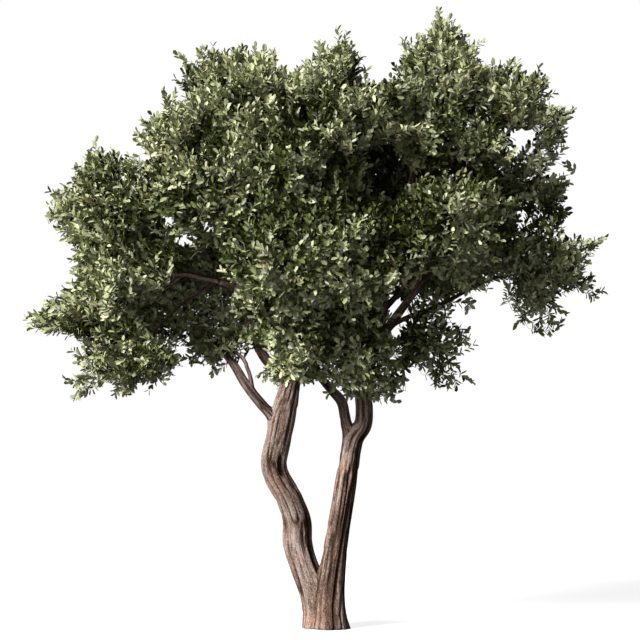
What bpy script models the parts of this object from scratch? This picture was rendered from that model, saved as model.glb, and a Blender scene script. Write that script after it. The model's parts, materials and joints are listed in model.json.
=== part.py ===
"""An olive tree on two stems: the foot, the two leaning stems, their boughs and the foliage.

Metres, +Z up. The origin is the middle of the flat cut at ground level, and -Y is the front.
A limb is a tapering tube along a smooth path. A mass of foliage is an uneven ball, trimmed
flat where it meets its neighbours, and each bough ends where it enters its mass.
"""

from dataclasses import dataclass

import bmesh
import bpy
import numpy as np
from mathutils import Vector, noise

# --- Driving dimensions ---------------------------------------------------------------------

GAP = 0.0003  # between pieces that touch
FORK_HEIGHT = 0.43  # where the foot parts into the two stems
KNEE_HEIGHT = 1.19  # where the left stem bends back, and is split
FLARE_HEIGHT = 0.16  # the roots spread below this
FLARE_REACH = 0.026  # how far they spread at the ground
TOES = 5  # ridges round the root flare
GROUND_DEPTH = 0.06  # how far the stems' tubes run below the cut, before it is made

STEM_SPACING = 0.100  # between the rings of a stem
LIMB_SPACING = 0.190  # between the rings of a bough
STEM_ROUNDNESS = 4  # a curve's bevel resolution: 12 sides
LIMB_ROUNDNESS = 2  # 8 sides
LEAD = 0.012  # straight run before a flat end
SMOOTHNESS = 24  # steps between two points of a path
TAPER = 0.8  # how a bough thins: under 1, most of it near the tip

BALL_SEGMENTS = 14  # points round a mass
BALL_RINGS = 8  # bands from its foot to its top
UNEVEN_BROAD = (1.7, 0.20)  # lobes of a mass: how many, how deep
UNEVEN_FINE = (4.2, 0.11)
TIP_WIDTH = 0.32  # spread of a long shoot's bump, in radians
MASS_CLEARANCE = 0.0006  # from a mass to the bough's end cut by it
PASSING = 0.04  # a bough this near to a mass may touch its facets

BARK_COLOUR = (0.115, 0.072, 0.052, 1.0)
BOUGH_COLOUR = (0.080, 0.050, 0.040, 1.0)
LEAF_COLOUR = (0.070, 0.085, 0.038, 1.0)


@dataclass(frozen=True)
class Stem:
    """One of the two stems: points of its axis from the ground up, each with its radius."""

    name: str
    way: tuple


@dataclass(frozen=True)
class Limb:
    """A bough. It starts inside the limb that carries it, and that limb's wood is cut from it."""

    name: str
    carried_by: str
    start: float  # share of the carrying limb's length
    way: tuple  # the points that it passes
    radii: tuple  # at its start and at its end
    ends_in: str = ""  # its mass; without one, it ends at its last point
    clear_of: tuple = ()  # limbs beside it that it is cut round


@dataclass(frozen=True)
class Mass:
    """A mass of foliage: its middle, its half sizes, and the ends of its longest shoots."""

    name: str
    centre: tuple
    size: tuple
    tips: tuple = ()


LEFT_STEM = Stem(
    "left_stem",
    (
        (-0.060, 0.050, -GROUND_DEPTH, 0.101),
        (-0.063, 0.050, 0.05, 0.099),
        (-0.088, 0.055, 0.22, 0.098),
        (-0.150, 0.060, 0.41, 0.098),
        (-0.203, 0.085, 0.60, 0.103),
        (-0.210, 0.075, 0.76, 0.101),
        (-0.262, 0.040, 0.93, 0.092),
        (-0.352, 0.000, 1.09, 0.090),
        (-0.374, -0.020, 1.20, 0.092),
        (-0.343, -0.035, 1.36, 0.088),
        (-0.304, -0.050, 1.56, 0.085),
        (-0.245, -0.045, 1.80, 0.075),
    ),
)
RIGHT_STEM = Stem(
    "right_stem",
    (
        (0.038, -0.030, -GROUND_DEPTH, 0.118),
        (0.038, -0.030, 0.05, 0.113),
        (0.036, -0.035, 0.24, 0.101),
        (0.052, -0.050, 0.44, 0.094),
        (0.084, -0.080, 0.68, 0.086),
        (0.122, -0.075, 0.92, 0.081),
        (0.155, -0.040, 1.14, 0.078),
        (0.193, -0.020, 1.36, 0.076),
    ),
)

LIMBS = (
    # From the left stem.
    Limb("low_left_bough", "left_stem_upper", 0.44,
         ((-0.455, -0.09, 1.585), (-0.583, -0.12, 1.75), (-0.655, -0.06, 1.93)),
         (0.047, 0.018), "left_under"),
    Limb("low_left_fork", "low_left_bough", 0.29,
         ((-0.520, -0.13, 1.780), (-0.545, -0.14, 1.87), (-0.605, -0.10, 1.965)),
         (0.020, 0.008), "left_under"),
    Limb("centre_limb", "left_stem_upper", 1.0,
         ((-0.190, 0.02, 2.05), (-0.090, 0.10, 2.48), (0.010, 0.13, 2.95)),
         (0.064, 0.018), "top_mid"),
    Limb("left_limb", "left_stem_upper", 0.93,
         ((-0.415, 0.00, 1.915), (-0.490, 0.02, 2.04), (-0.554, 0.00, 2.23), (-0.598, -0.03, 2.434)),
         (0.040, 0.027), clear_of=("centre_limb",)),
    Limb("left_arm", "left_limb", 0.97,
         ((-0.750, -0.09, 2.484), (-0.980, -0.15, 2.540), (-1.165, -0.16, 2.585)),
         (0.026, 0.012), "left_high"),
    Limb("upper_left_limb", "left_limb", 1.0,
         ((-0.588, 0.00, 2.560), (-0.576, 0.03, 2.66), (-0.580, 0.06, 2.95)),
         (0.026, 0.012), "top_left", clear_of=("left_arm",)),
    Limb("low_prong", "left_arm", 0.36,
         ((-1.120, -0.17, 2.46), (-1.210, -0.17, 2.40)),
         (0.012, 0.006), "left_low"),
    Limb("hem_prong", "left_arm", 0.17,
         ((-0.970, -0.20, 2.37), (-1.120, -0.25, 2.246)),
         (0.014, 0.007), "left_hem"),
    Limb("shoulder_limb", "upper_left_limb", 0.14,
         ((-0.684, 0.01, 2.67), (-0.750, -0.01, 2.84), (-0.800, -0.03, 3.02)),
         (0.017, 0.009), "left_shoulder"),
    Limb("left_breast_limb", "left_limb", 0.80,
         ((-0.600, -0.20, 2.58), (-0.700, -0.42, 2.80)),
         (0.020, 0.010), "left_breast", clear_of=("left_arm",)),
    Limb("back_left_limb", "left_limb", 0.58,
         ((-0.620, 0.28, 2.32), (-0.740, 0.60, 2.50)),
         (0.024, 0.012), "back_left"),
    Limb("mid_breast_limb", "centre_limb", 0.36,
         ((-0.090, -0.18, 2.70), (-0.110, -0.40, 2.95)),
         (0.028, 0.012), "mid_breast"),
    Limb("front_limb", "centre_limb", 0.14,
         ((-0.215, -0.30, 2.17), (-0.240, -0.60, 2.34)),
         (0.032, 0.014), "front_high"),
    Limb("back_limb", "centre_limb", 0.18,
         ((-0.140, 0.42, 2.36), (-0.070, 0.78, 2.62)),
         (0.034, 0.014), "back_mid"),
    Limb("back_top_limb", "back_limb", 0.34,
         ((-0.040, 0.56, 2.80), (0.040, 0.66, 3.15)),
         (0.020, 0.010), "back_top"),
    # From the right stem.
    Limb("right_bough", "right_stem", 0.985,
         ((0.262, -0.02, 1.46), (0.274, -0.01, 1.58), (0.268, 0.00, 1.70), (0.300, 0.01, 1.88),
          (0.375, 0.02, 2.07)),
         (0.070, 0.040)),
    Limb("inner_fork", "right_stem", 0.96,
         ((0.146, -0.04, 1.45), (0.131, -0.06, 1.54), (0.105, -0.10, 1.64), (0.010, -0.20, 1.75)),
         (0.046, 0.016), "front_low", clear_of=("right_bough",)),
    Limb("right_limb", "right_bough", 0.98,
         ((0.497, -0.04, 2.23), (0.590, -0.12, 2.36), (0.710, -0.30, 2.54)),
         (0.034, 0.013), "right_breast"),
    Limb("tall_limb", "right_bough", 1.0,
         ((0.420, 0.08, 2.35), (0.490, 0.10, 2.75), (0.610, 0.07, 3.20)),
         (0.038, 0.016), "top_right", clear_of=("right_limb",)),
    Limb("tip_limb", "right_limb", 0.12,
         ((0.620, 0.03, 2.250), (0.830, 0.06, 2.330), (1.020, 0.07, 2.430), (1.240, 0.06, 2.530)),
         (0.019, 0.008), "right_tip"),
    Limb("low_right_limb", "right_bough", 0.86,
         ((0.440, 0.08, 2.02), (0.530, 0.11, 2.05)),
         (0.024, 0.011), "right_low", clear_of=("tip_limb",)),
    Limb("front_right_limb", "right_bough", 0.74,
         ((0.290, -0.32, 2.10), (0.270, -0.60, 2.34)),
         (0.026, 0.011), "front_right"),
    Limb("front_hem_limb", "right_bough", 0.46,
         ((0.285, -0.14, 1.75), (0.270, -0.26, 1.80)),
         (0.020, 0.010), "front_hem"),
    Limb("far_limb", "tall_limb", 0.30,
         ((0.640, 0.16, 2.92), (0.900, 0.18, 3.28)),
         (0.024, 0.012), "far_top_right"),
    Limb("right_high_limb", "far_limb", 0.30,
         ((0.900, 0.24, 2.98), (1.080, 0.27, 3.08)),
         (0.017, 0.008), "right_high"),
    Limb("back_right_limb", "tall_limb", 0.12,
         ((0.540, 0.38, 2.42), (0.680, 0.66, 2.58)),
         (0.025, 0.011), "back_right"),
    Limb("heart_limb", "tall_limb", 0.22,
         ((0.480, 0.24, 2.86), (0.490, 0.36, 3.00)),
         (0.018, 0.009), "heart_right"),
    Limb("back_low_limb", "right_bough", 0.62,
         ((0.200, 0.30, 1.93), (0.080, 0.52, 2.05)),
         (0.020, 0.010), "back_low"),
)

MASSES = (
    # The left of the crown.
    Mass("left_high", (-1.61, 0.00, 3.03), (0.40, 0.50, 0.40), ((-2.03, -0.05, 2.99), (-1.74, 0.0, 3.46))),
    Mass("left_low", (-1.58, -0.10, 2.33), (0.45, 0.48, 0.33), ((-2.13, -0.10, 2.20),)),
    Mass("left_hem", (-1.40, -0.35, 1.94), (0.42, 0.42, 0.24), ((-1.84, -0.35, 1.74),)),
    Mass("left_under", (-0.86, 0.35, 2.19), (0.37, 0.45, 0.24), ((-0.77, 0.20, 1.83),)),
    Mass("left_shoulder", (-1.05, -0.05, 3.42), (0.37, 0.50, 0.37), ((-1.37, 0.0, 3.64),)),
    Mass("top_left", (-0.65, 0.10, 3.84), (0.42, 0.50, 0.36), ((-1.05, 0.1, 4.10), (-0.63, 0.05, 4.19))),
    Mass("left_breast", (-0.84, -0.75, 3.12), (0.40, 0.42, 0.35)),
    # The middle.
    Mass("top_mid", (0.11, 0.15, 3.79), (0.38, 0.50, 0.41), ((0.10, 0.10, 4.26),)),
    Mass("mid_breast", (-0.13, -0.75, 3.29), (0.43, 0.45, 0.39)),
    Mass("front_high", (-0.28, -1.15, 2.64), (0.41, 0.48, 0.38)),
    Mass("front_low", (-0.22, -0.75, 2.08), (0.32, 0.42, 0.33), ((-0.24, -0.7, 1.70),)),
    Mass("front_right", (0.24, -1.00, 2.61), (0.33, 0.46, 0.40)),
    Mass("front_hem", (0.24, -0.55, 1.95), (0.31, 0.38, 0.28), ((0.14, -0.5, 1.64), (0.47, -0.4, 1.63))),
    # The right.
    Mass("top_right", (0.82, 0.00, 3.86), (0.38, 0.52, 0.42), ((0.84, 0.0, 4.46), (0.54, 0.0, 4.19))),
    Mass("far_top_right", (1.36, 0.15, 3.74), (0.39, 0.46, 0.34), ((1.26, 0.1, 4.11), (1.64, 0.1, 3.93))),
    Mass("right_high", (1.46, 0.30, 3.22), (0.35, 0.48, 0.34), ((1.77, 0.2, 3.46), (1.82, 0.2, 2.97))),
    Mass("right_tip", (1.54, 0.05, 2.60), (0.38, 0.46, 0.34),
         ((2.04, 0.0, 2.78), (2.02, 0.0, 2.38), (1.64, 0.0, 2.14))),
    Mass("right_breast", (0.91, -0.75, 2.92), (0.42, 0.48, 0.42)),
    Mass("right_low", (0.79, 0.15, 2.04), (0.32, 0.44, 0.26), ((1.03, 0.1, 1.74), (0.80, 0.1, 1.73))),
    # The back, and the heart of the crown.
    Mass("heart_right", (0.50, 0.55, 3.24), (0.36, 0.36, 0.36)),
    Mass("back_left", (-0.95, 1.05, 2.86), (0.55, 0.52, 0.48), ((-1.30, 1.4, 2.5),)),
    Mass("back_mid", (0.00, 1.35, 2.98), (0.52, 0.50, 0.52), ((0.05, 1.9, 3.1),)),
    Mass("back_right", (0.93, 1.05, 2.84), (0.55, 0.52, 0.48), ((1.08, 1.0, 2.28),)),
    Mass("back_top", (0.08, 0.85, 3.66), (0.58, 0.48, 0.38)),
    Mass("back_low", (-0.08, 1.00, 2.22), (0.52, 0.48, 0.33)),
)


# --- Paths ----------------------------------------------------------------------------------


class Path:
    """A line through rows of x, y, z and radius, read by share of its length."""

    def __init__(self, rows):
        self.line = np.array(rows, float)
        steps = np.linalg.norm(np.diff(self.line[:, :3], axis=0), axis=1)
        along = np.concatenate([[0.0], np.cumsum(steps)])
        self.length = along[-1]
        self.shares = along / self.length

    def place(self, share):
        return Vector([np.interp(share, self.shares, self.line[:, k]) for k in range(3)])

    def radius(self, share):
        return float(np.interp(share, self.shares, self.line[:, 3]))

    def direction(self, share):
        reach = LEAD / self.length
        return (self.place(share + reach) - self.place(share - reach)).normalized()

    def share_at_height(self, height):
        return float(np.interp(height, self.line[:, 2], self.shares))

    def tapered(self, start, end):
        """The same line, thinning from one radius to the other."""
        radii = end + (start - end) * (1 - self.shares) ** TAPER
        return Path(np.column_stack([self.line[:, :3], radii]))

    def rings(self, start, end, spacing):
        """The rings of a tube along it, as a path. Each end is square to it, after a straight lead."""
        shares = np.linspace(start, end, max(4, round((end - start) * self.length / spacing)))
        first, last = self.place(start), self.place(end)
        places = [first, first + self.direction(start) * LEAD]
        places += [self.place(share) for share in shares[1:-1]]
        places += [last - self.direction(end) * LEAD, last]
        ring_shares = [start, start, *shares[1:-1], end, end]
        return Path([(*place, self.radius(share)) for place, share in zip(places, ring_shares)])

    def swollen(self):
        """The rings of a tube that stands a gap clear of this one all round, ends included."""
        line = self.line.copy()
        line[:, 3] += GAP
        for end, inner in ((0, 1), (-1, -2)):
            out = self.line[end, :3] - self.line[inner, :3]
            line[end, :3] += GAP * out / np.linalg.norm(out)
        return Path(line)


def smooth_path(points):
    """A path along a Catmull-Rom spline through the points, which may each hold a radius."""
    rows = catmull_rom(np.array(points, float), SMOOTHNESS)
    return Path(rows if rows.shape[1] == 4 else np.column_stack([rows, np.zeros(len(rows))]))


def catmull_rom(rows, samples):
    """Rows of numbers along a Catmull-Rom spline through the given rows."""
    padded = np.vstack([2 * rows[0] - rows[1], rows, 2 * rows[-1] - rows[-2]])
    t = np.linspace(0, 1, samples, endpoint=False)[:, None]
    pieces = []
    for a, b, c, d in zip(padded, padded[1:], padded[2:], padded[3:]):
        pieces.append(0.5 * (2 * b + (c - a) * t + (2 * a - 5 * b + 4 * c - d) * t**2
                             + (3 * b - a - 3 * c + d) * t**3))
    return np.vstack([*pieces, rows[-1:]])


# --- Objects --------------------------------------------------------------------------------


def clear_scene():
    for obj in list(bpy.data.objects):
        bpy.data.objects.remove(obj)


def collection(name):
    made = bpy.data.collections.new(name)
    bpy.context.scene.collection.children.link(made)
    return made


def material(name, colour, roughness):
    made = bpy.data.materials.new(name)
    made.use_nodes = True
    shader = made.node_tree.nodes["Principled BSDF"]
    shader.inputs["Base Color"].default_value = colour
    shader.inputs["Roughness"].default_value = roughness
    shader.inputs["Metallic"].default_value = 0.0
    return made


def helper(obj):
    """Marks an object that only cuts or joins others."""
    obj.hide_render = True
    obj.display_type = "WIRE"
    return obj


def tube(name, rings, roundness, where, finish=None):
    """A mesh tube through a path of rings, made from a bevelled curve with closed ends.

    Its quads are all split along the same diagonal, so that a tube stays inside its swollen copy.
    """
    curve = bpy.data.curves.new(name, "CURVE")
    curve.dimensions = "3D"
    curve.bevel_depth = 1.0
    curve.bevel_resolution = roundness
    curve.use_fill_caps = True
    spline = curve.splines.new("POLY")
    spline.points.add(len(rings.line) - 1)
    for point, (x, y, z, radius) in zip(spline.points, rings.line):
        point.co = (x, y, z, 1.0)
        point.radius = radius
    guide = bpy.data.objects.new(name + "_line", curve)
    where.objects.link(guide)
    graph = bpy.context.evaluated_depsgraph_get()
    mesh = bpy.data.meshes.new_from_object(guide.evaluated_get(graph))
    shape = bmesh.new()
    shape.from_mesh(mesh)
    bmesh.ops.remove_doubles(shape, verts=shape.verts, dist=1e-5)
    bmesh.ops.triangulate(shape, faces=shape.faces, quad_method="FIXED")
    bmesh.ops.recalc_face_normals(shape, faces=shape.faces)
    shape.to_mesh(mesh)
    shape.free()
    mesh.shade_smooth()
    mesh.materials.clear()
    if finish:
        mesh.materials.append(finish)
    made = bpy.data.objects.new(name, mesh)
    made.matrix_world = guide.matrix_world
    where.objects.link(made)
    bpy.data.objects.remove(guide)
    return made


def ball(name, mass, where, finish=None, swell=0.0):
    """A mass of foliage, as a ball whose points are moved out to the mass's surface.

    The point nearest to the end of each of its longest shoots is first turned to face it.
    """
    shape = bmesh.new()
    bmesh.ops.create_uvsphere(shape, u_segments=BALL_SEGMENTS, v_segments=BALL_RINGS, radius=1.0)
    for tip in mass.tips:
        towards = (Vector(tip) - Vector(mass.centre)).normalized()
        nearest = max(shape.verts, key=lambda vertex: vertex.co.dot(towards))
        nearest.co = towards
    for vertex in shape.verts:
        way_out = vertex.co.normalized()
        vertex.co = way_out * (reach(mass, way_out) + swell)
    mesh = bpy.data.meshes.new(name)
    shape.to_mesh(mesh)
    shape.free()
    mesh.shade_smooth()
    if finish:
        mesh.materials.append(finish)
    made = bpy.data.objects.new(name, mesh)
    made.location = mass.centre
    where.objects.link(made)
    return made


def boolean(obj, other, operation="DIFFERENCE"):
    modifier = obj.modifiers.new(f"{operation.lower()}_{other.name}", "BOOLEAN")
    modifier.operation = operation
    modifier.object = other
    modifier.solver = "EXACT"


# --- The shape of a mass --------------------------------------------------------------------


def ball_radius(mass, way_out):
    """Radius of the mass's ellipsoid in a direction."""
    return 1 / Vector([way_out[k] / mass.size[k] for k in range(3)]).length


def uneven_radius(mass, way_out):
    """The ellipsoid's radius with the mass's lobes, and with its longest shoots standing out."""
    seed = Vector(mass.centre) * 7
    radius = ball_radius(mass, way_out)
    for count, depth in (UNEVEN_BROAD, UNEVEN_FINE):
        radius *= 1 + depth * noise.noise(way_out * count + seed)
    for tip in mass.tips:
        shoot = Vector(tip) - Vector(mass.centre)
        near = np.exp(-((way_out.angle(shoot) / TIP_WIDTH) ** 2))
        radius = max(radius, radius + (shoot.length - radius) * near)
    return radius


def reach(mass, way_out):
    """Radius of the finished mass: the uneven ball, cut by a plane towards each other mass.

    The plane stands where the two ellipsoids are equally deep, and half a gap short of it.
    """
    radius = uneven_radius(mass, way_out)
    for other in MASSES:
        if other is mass:
            continue
        between = Vector(other.centre) - Vector(mass.centre)
        towards = between.normalized()
        slant = way_out.dot(towards)
        if slant <= 0:
            continue
        mine, theirs = ball_radius(mass, towards), ball_radius(other, towards)
        plane = between.length * mine / (mine + theirs) - GAP / 2
        radius = min(radius, plane / slant)
    return radius


def passes_through(path, mass):
    """True if a limb's path, at its thickness, may meet the mass."""
    for share in np.linspace(0, 1, round(path.length / PASSING)):
        out = path.place(share) - Vector(mass.centre)
        if out.length < reach(mass, out.normalized()) + path.radius(share) + PASSING:
            return True
    return False


# --- The pieces -----------------------------------------------------------------------------


def spread_roots(obj):
    """Moves the lowest rings outwards, in ridges, and leaves what is above the flare alone."""
    for vertex in obj.data.vertices:
        height = max(vertex.co.z, 0.0)
        if height >= FLARE_HEIGHT:
            continue
        out = Vector((vertex.co.x, vertex.co.y, 0.0))
        ridge = 0.7 + 0.3 * np.cos(TOES * np.arctan2(out.y, out.x) + 1.0)
        vertex.co += out.normalized() * FLARE_REACH * ridge * (1 - height / FLARE_HEIGHT) ** 2


def build_foot(paths, bark, tree, cutters):
    """Both stems up to the fork, joined, with the root flare, cut flat at the ground."""
    halves = []
    for stem in (RIGHT_STEM, LEFT_STEM):
        path = paths[stem.name]
        fork = path.share_at_height(FORK_HEIGHT) - GAP / path.length
        where = tree if not halves else cutters
        name = "foot" if not halves else "foot_other_half"
        half = tube(name, path.rings(0.0, fork, STEM_SPACING), STEM_ROUNDNESS, where, bark)
        spread_roots(half)
        halves.append(half)
    foot, other_half = halves
    boolean(foot, helper(other_half), "UNION")
    bpy.ops.mesh.primitive_cube_add(size=1.0, location=(0, 0, -0.5))
    ground = helper(bpy.context.object)
    ground.name = "ground_cut"
    for holder in ground.users_collection:
        holder.objects.unlink(ground)
    cutters.objects.link(ground)
    boolean(foot, ground)


def build_stems(paths, bark, tree, cutters):
    """The stems above the fork, the left one in two pieces. Adds each piece's path to paths."""
    left, right = paths[LEFT_STEM.name], paths[RIGHT_STEM.name]
    knee = left.share_at_height(KNEE_HEIGHT)
    pieces = (
        ("left_stem_lower", left, left.share_at_height(FORK_HEIGHT), knee - GAP / left.length),
        ("left_stem_upper", left, knee, 1.0),
        ("right_stem", right, right.share_at_height(FORK_HEIGHT), 1.0),
    )
    made = {}
    for name, path, start, end in pieces:
        rings = path.rings(start, end, STEM_SPACING)
        made[name] = tube(name, rings, STEM_ROUNDNESS, tree, bark)
        helper(tube(name + "_clearance", rings.swollen(), STEM_ROUNDNESS, cutters))
        paths[name] = rings
    # Above the fork the two stems still lean on each other for a hand's breadth.
    boolean(made["left_stem_lower"], bpy.data.objects["right_stem_clearance"])


def build_limbs(paths, bark, tree, cutters):
    """Each bough, cut by the limb that carries it, its neighbours and its mass."""
    middles = {mass.name: mass.centre for mass in MASSES}
    for limb in LIMBS:
        first = paths[limb.carried_by].place(limb.start)
        last = [middles[limb.ends_in]] if limb.ends_in else []
        path = smooth_path([first, *limb.way, *last]).tapered(*limb.radii)
        rings = paths[limb.name] = path.rings(0.0, 1.0, LIMB_SPACING)
        bough = tube(limb.name, rings, LIMB_ROUNDNESS, tree, bark)
        helper(tube(limb.name + "_clearance", rings.swollen(), LIMB_ROUNDNESS, cutters))
        for other in (limb.carried_by, *limb.clear_of):
            boolean(bough, bpy.data.objects[other + "_clearance"])
        if limb.ends_in:
            boolean(bough, bpy.data.objects[limb.ends_in + "_clearance"])


def build_masses(leaves, tree, cutters):
    for mass in MASSES:
        ball(mass.name, mass, tree, leaves)
        helper(ball(mass.name + "_clearance", mass, cutters, swell=MASS_CLEARANCE))


def cut_masses_round_limbs(paths):
    """A mass that a bough only passes, on its way to another, is cut round it."""
    for mass in MASSES:
        for limb in LIMBS:
            if limb.ends_in != mass.name and passes_through(paths[limb.name], mass):
                boolean(bpy.data.objects[mass.name], bpy.data.objects[limb.name + "_clearance"])


def main():
    clear_scene()
    tree = collection("olive_tree")
    cutters = collection("clearances")
    bark = material("bark", BARK_COLOUR, 0.85)
    bough_bark = material("bough_bark", BOUGH_COLOUR, 0.8)
    leaves = material("leaves", LEAF_COLOUR, 0.55)
    paths = {stem.name: smooth_path(stem.way) for stem in (LEFT_STEM, RIGHT_STEM)}
    build_foot(paths, bark, tree, cutters)
    build_stems(paths, bark, tree, cutters)
    build_masses(leaves, tree, cutters)
    build_limbs(paths, bough_bark, tree, cutters)
    cut_masses_round_limbs(paths)


main()
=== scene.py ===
"""The olive tree's looks: grooved bark on its stems and boughs, and leafy shoots in its masses.

Metres, +Z up, -Y the front. The limbs follow the frame's limbs. Each mass of foliage is a star
shape round its middle, read from its node, with tufts that fill it out. Places for shoots are
strewn where the masses, melted together, are full. Twigs grow to them from the limbs that end
in each mass: a place joins the twig that gives the shortest way back to a limb. Every place so
joined bears a shoot of paired leaves.
"""

import json
import math
from dataclasses import dataclass

import bpy
import numpy as np
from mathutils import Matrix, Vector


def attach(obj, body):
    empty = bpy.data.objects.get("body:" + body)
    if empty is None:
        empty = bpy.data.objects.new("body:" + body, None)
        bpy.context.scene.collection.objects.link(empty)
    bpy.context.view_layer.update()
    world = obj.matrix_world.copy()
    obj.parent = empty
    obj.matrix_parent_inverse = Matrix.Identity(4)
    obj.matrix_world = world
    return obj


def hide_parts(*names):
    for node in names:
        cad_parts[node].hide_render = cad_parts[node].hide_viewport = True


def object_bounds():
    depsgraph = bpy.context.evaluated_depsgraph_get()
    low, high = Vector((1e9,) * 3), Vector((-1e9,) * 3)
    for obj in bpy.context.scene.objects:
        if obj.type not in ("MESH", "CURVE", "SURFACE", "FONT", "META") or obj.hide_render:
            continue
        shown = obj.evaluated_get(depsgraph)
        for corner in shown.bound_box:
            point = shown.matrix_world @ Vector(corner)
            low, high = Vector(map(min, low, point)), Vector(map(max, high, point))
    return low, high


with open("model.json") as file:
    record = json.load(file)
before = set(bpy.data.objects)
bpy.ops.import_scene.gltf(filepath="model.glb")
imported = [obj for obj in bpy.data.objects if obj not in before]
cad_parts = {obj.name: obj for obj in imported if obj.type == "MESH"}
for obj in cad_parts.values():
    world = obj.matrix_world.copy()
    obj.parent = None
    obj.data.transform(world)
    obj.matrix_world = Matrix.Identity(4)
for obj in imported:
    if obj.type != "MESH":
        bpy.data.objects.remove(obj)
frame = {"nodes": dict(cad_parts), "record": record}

CAD_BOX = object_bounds()
SEED = 5
BARK_SEED = 31
LUMP_SEED = 7
BUNCH_SEED = 3

# --- Sizes ---

# Bark.
SIDES = ((0.05, 112), (0.024, 56), (0.012, 28), (0.0, 14))  # by the radius that they begin at
RING_STEP = (0.01, 0.03, 0.1), (0.034, 0.022, 0.015)  # radii, and the steps there
SMOOTHNESS = 16  # steps between two given points of a limb
FINE_STEPS = 2000  # along a limb, to place its rings
LEAST_RINGS = 4
TAPER = 0.8  # the power by which a limb thins
FLARE_HEIGHT = 0.16  # of the roots' ridges at the foot
FLARE_REACH = 0.026
TOES = 5
FILLET = 1.3  # reach of the swelling where two limbs meet, in radii of the thinner
FILLET_SEARCH = 0.1  # how far beyond a limb others are looked for
FLUTES = 0.085  # heights of the bark's relief, in radii of the limb
GROOVES = 0.15
CRACKS = 0.035
GROOVE_WIDTH = 0.16  # how far from nought the noise counts as a groove
CRACK_WIDTH = 0.22
SWAY = 0.35  # how strongly they wander sideways
# The bark's noises: how fine round the limb, how fine along it, and an offset.
SWAY_NOISE = (0.8, 2.2, 9.0)
FLUTE_NOISE = (1.0, 1.3, 0.0)
GROOVE_NOISE = (1.9, 2.0, 20.0)
CRACK_NOISE = (4.6, 4.5, 40.0)
STRENGTH_NOISE = (1.4, 3.0, 60.0)
THICK_LIMB = 0.09  # radius at which the relief is as long as its noises say
THIN_LIMB = 0.03  # radius below which it fades
SPLIT_DARK = 0.02  # depth at which a split is as dark as a fissure; that dark is partly the bark's own, partly painted shade

# Growth.
SHOOT_SPACING = 0.0548
SHOOT_LENGTH = (0.11, 0.19)
SHOOT_SINK = 1.05  # the crown is still full this far along a shoot, in its lengths
EDGE = 0.07  # depth in which the shoots thin out towards the crown's surface
SHELL = 0.3  # depth of the crown's leafy outside
INNER_SHARE = 0.36  # of the places deeper inside that bear a shoot
MASS_REACH = 0.75  # shoots are strewn no further from the nearest mass's middle
OUT_OF_MASS = 0.3  # weights of what turns a shoot
OUT_OF_CROWN = 0.55
UPWARDS = 0.3
AT_RANDOM = 0.38
BUNCH_SIZE = 0.17  # shoots stand in bunches
BETWEEN_BUNCHES = 0.25  # the least share of shoots that grows there
BUNCH_RISE = 0.08  # how much deeper in the crown they end there
MELT = 5.0  # how sharply masses keep apart where they meet
LUMP_SIZE = 0.27
LUMPS = 1.5  # depth of the hollows between lumps
LUMP_RISE = -0.25  # the least that the noise counts for, so lumps stand out less than hollows
SPRAY_TIP = 0.16  # from a spray's tip to the foot of its last shoot
SPRAY_LENGTH = 0.34  # and its first shoot is no further from the tip
SPRAY_STEP = 0.8 * SHOOT_SPACING
SPRAY_SPREAD = 0.55  # how far its shoots lean outwards
SPRAY_SWAY = 0.008  # how far they stand off its line
CROWN_MIDDLE = np.array((0.0, 0.1, 2.75))

# Twigs.
ROOT_SHARE = 0.95  # the part of a mass where its limb bears twigs
ROOT_STEP = 0.04  # between the points of the limb that twigs can start from
LONGEST_TWIG = 0.19  # from one shoot to the next
WANDER = 0.35  # 0 joins each place to its nearest twig, 1 to the shortest way home
TWIG_TIP = 0.0014  # radius
PIPE_POWER = 2.4  # a twig's radius to this power is the sum of its branches'
TWIG_TAPER = (1.12, 0.16)  # a twig's first radius, in its own, and how much thinner it ends
BOW = 7  # a twig bends out by its length over this
# Twigs by radius: least, most, the shares of their length that have a ring, and the sides.
TWIG_SIZES = (
    (0.0, 0.002, (0, 1), 3), (0.002, 0.005, (0, 0.5, 1), 4), (0.005, 1.0, (0, 0.33, 0.67, 1), 6),
)
SHOOT_RINGS = np.array((0, 0.5, 1.0))  # shares of its length
SHOOT_TAPER = (1.0, 0.75, 0.4)
SHOOT_SIDES = 3
SHOOT_LIFT = 0.3  # how much a shoot bends up
SHOOT_WAVER = 0.28  # and at random

# Leaves. The outline's corners are along and across, in leaf lengths and widths.
LEAF_OUTLINE = ((0.0, 0.0), (0.28, 0.38), (0.74, 0.47), (1.0, 0.0), (0.74, -0.47), (0.28, -0.38))
LEAF_LENGTH = 0.062
LEAF_WIDTH = 0.0285
LEAF_SIZES = (0.78, 1.14)  # least and most, by which length and width vary
LEAF_WIDTHS = (0.85, 1.15)
END_LEAVES = 0.22  # how much leaves shrink away from the shoot's middle, over its length
LEAF_FOLD = 0.14  # how deep the midrib lies, in leaf widths
LEAF_DROOP = 0.16  # how far the tip bends back, in leaf lengths
LEAF_LEAN = (58, 34)  # degrees away from the shoot at its foot, and how many fewer at its tip
LEAF_WAVER = (0.15, 0.13, 0.45)  # spread of a leaf's turn round its shoot, lean and roll
FACE_LIGHT = 0.24  # how strongly a leaf turns its face up and outwards
FACE_UP = 0.9  # how much of that is up
PAIRS = 6  # of leaves on a shoot
FIRST_PAIR = 0.12  # its place, in shoot lengths
PAIR_TURN = (0.2, 1.4)  # least and most turn from one pair to the next
MISSING = 0.08  # share of the leaves that have dropped

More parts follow.
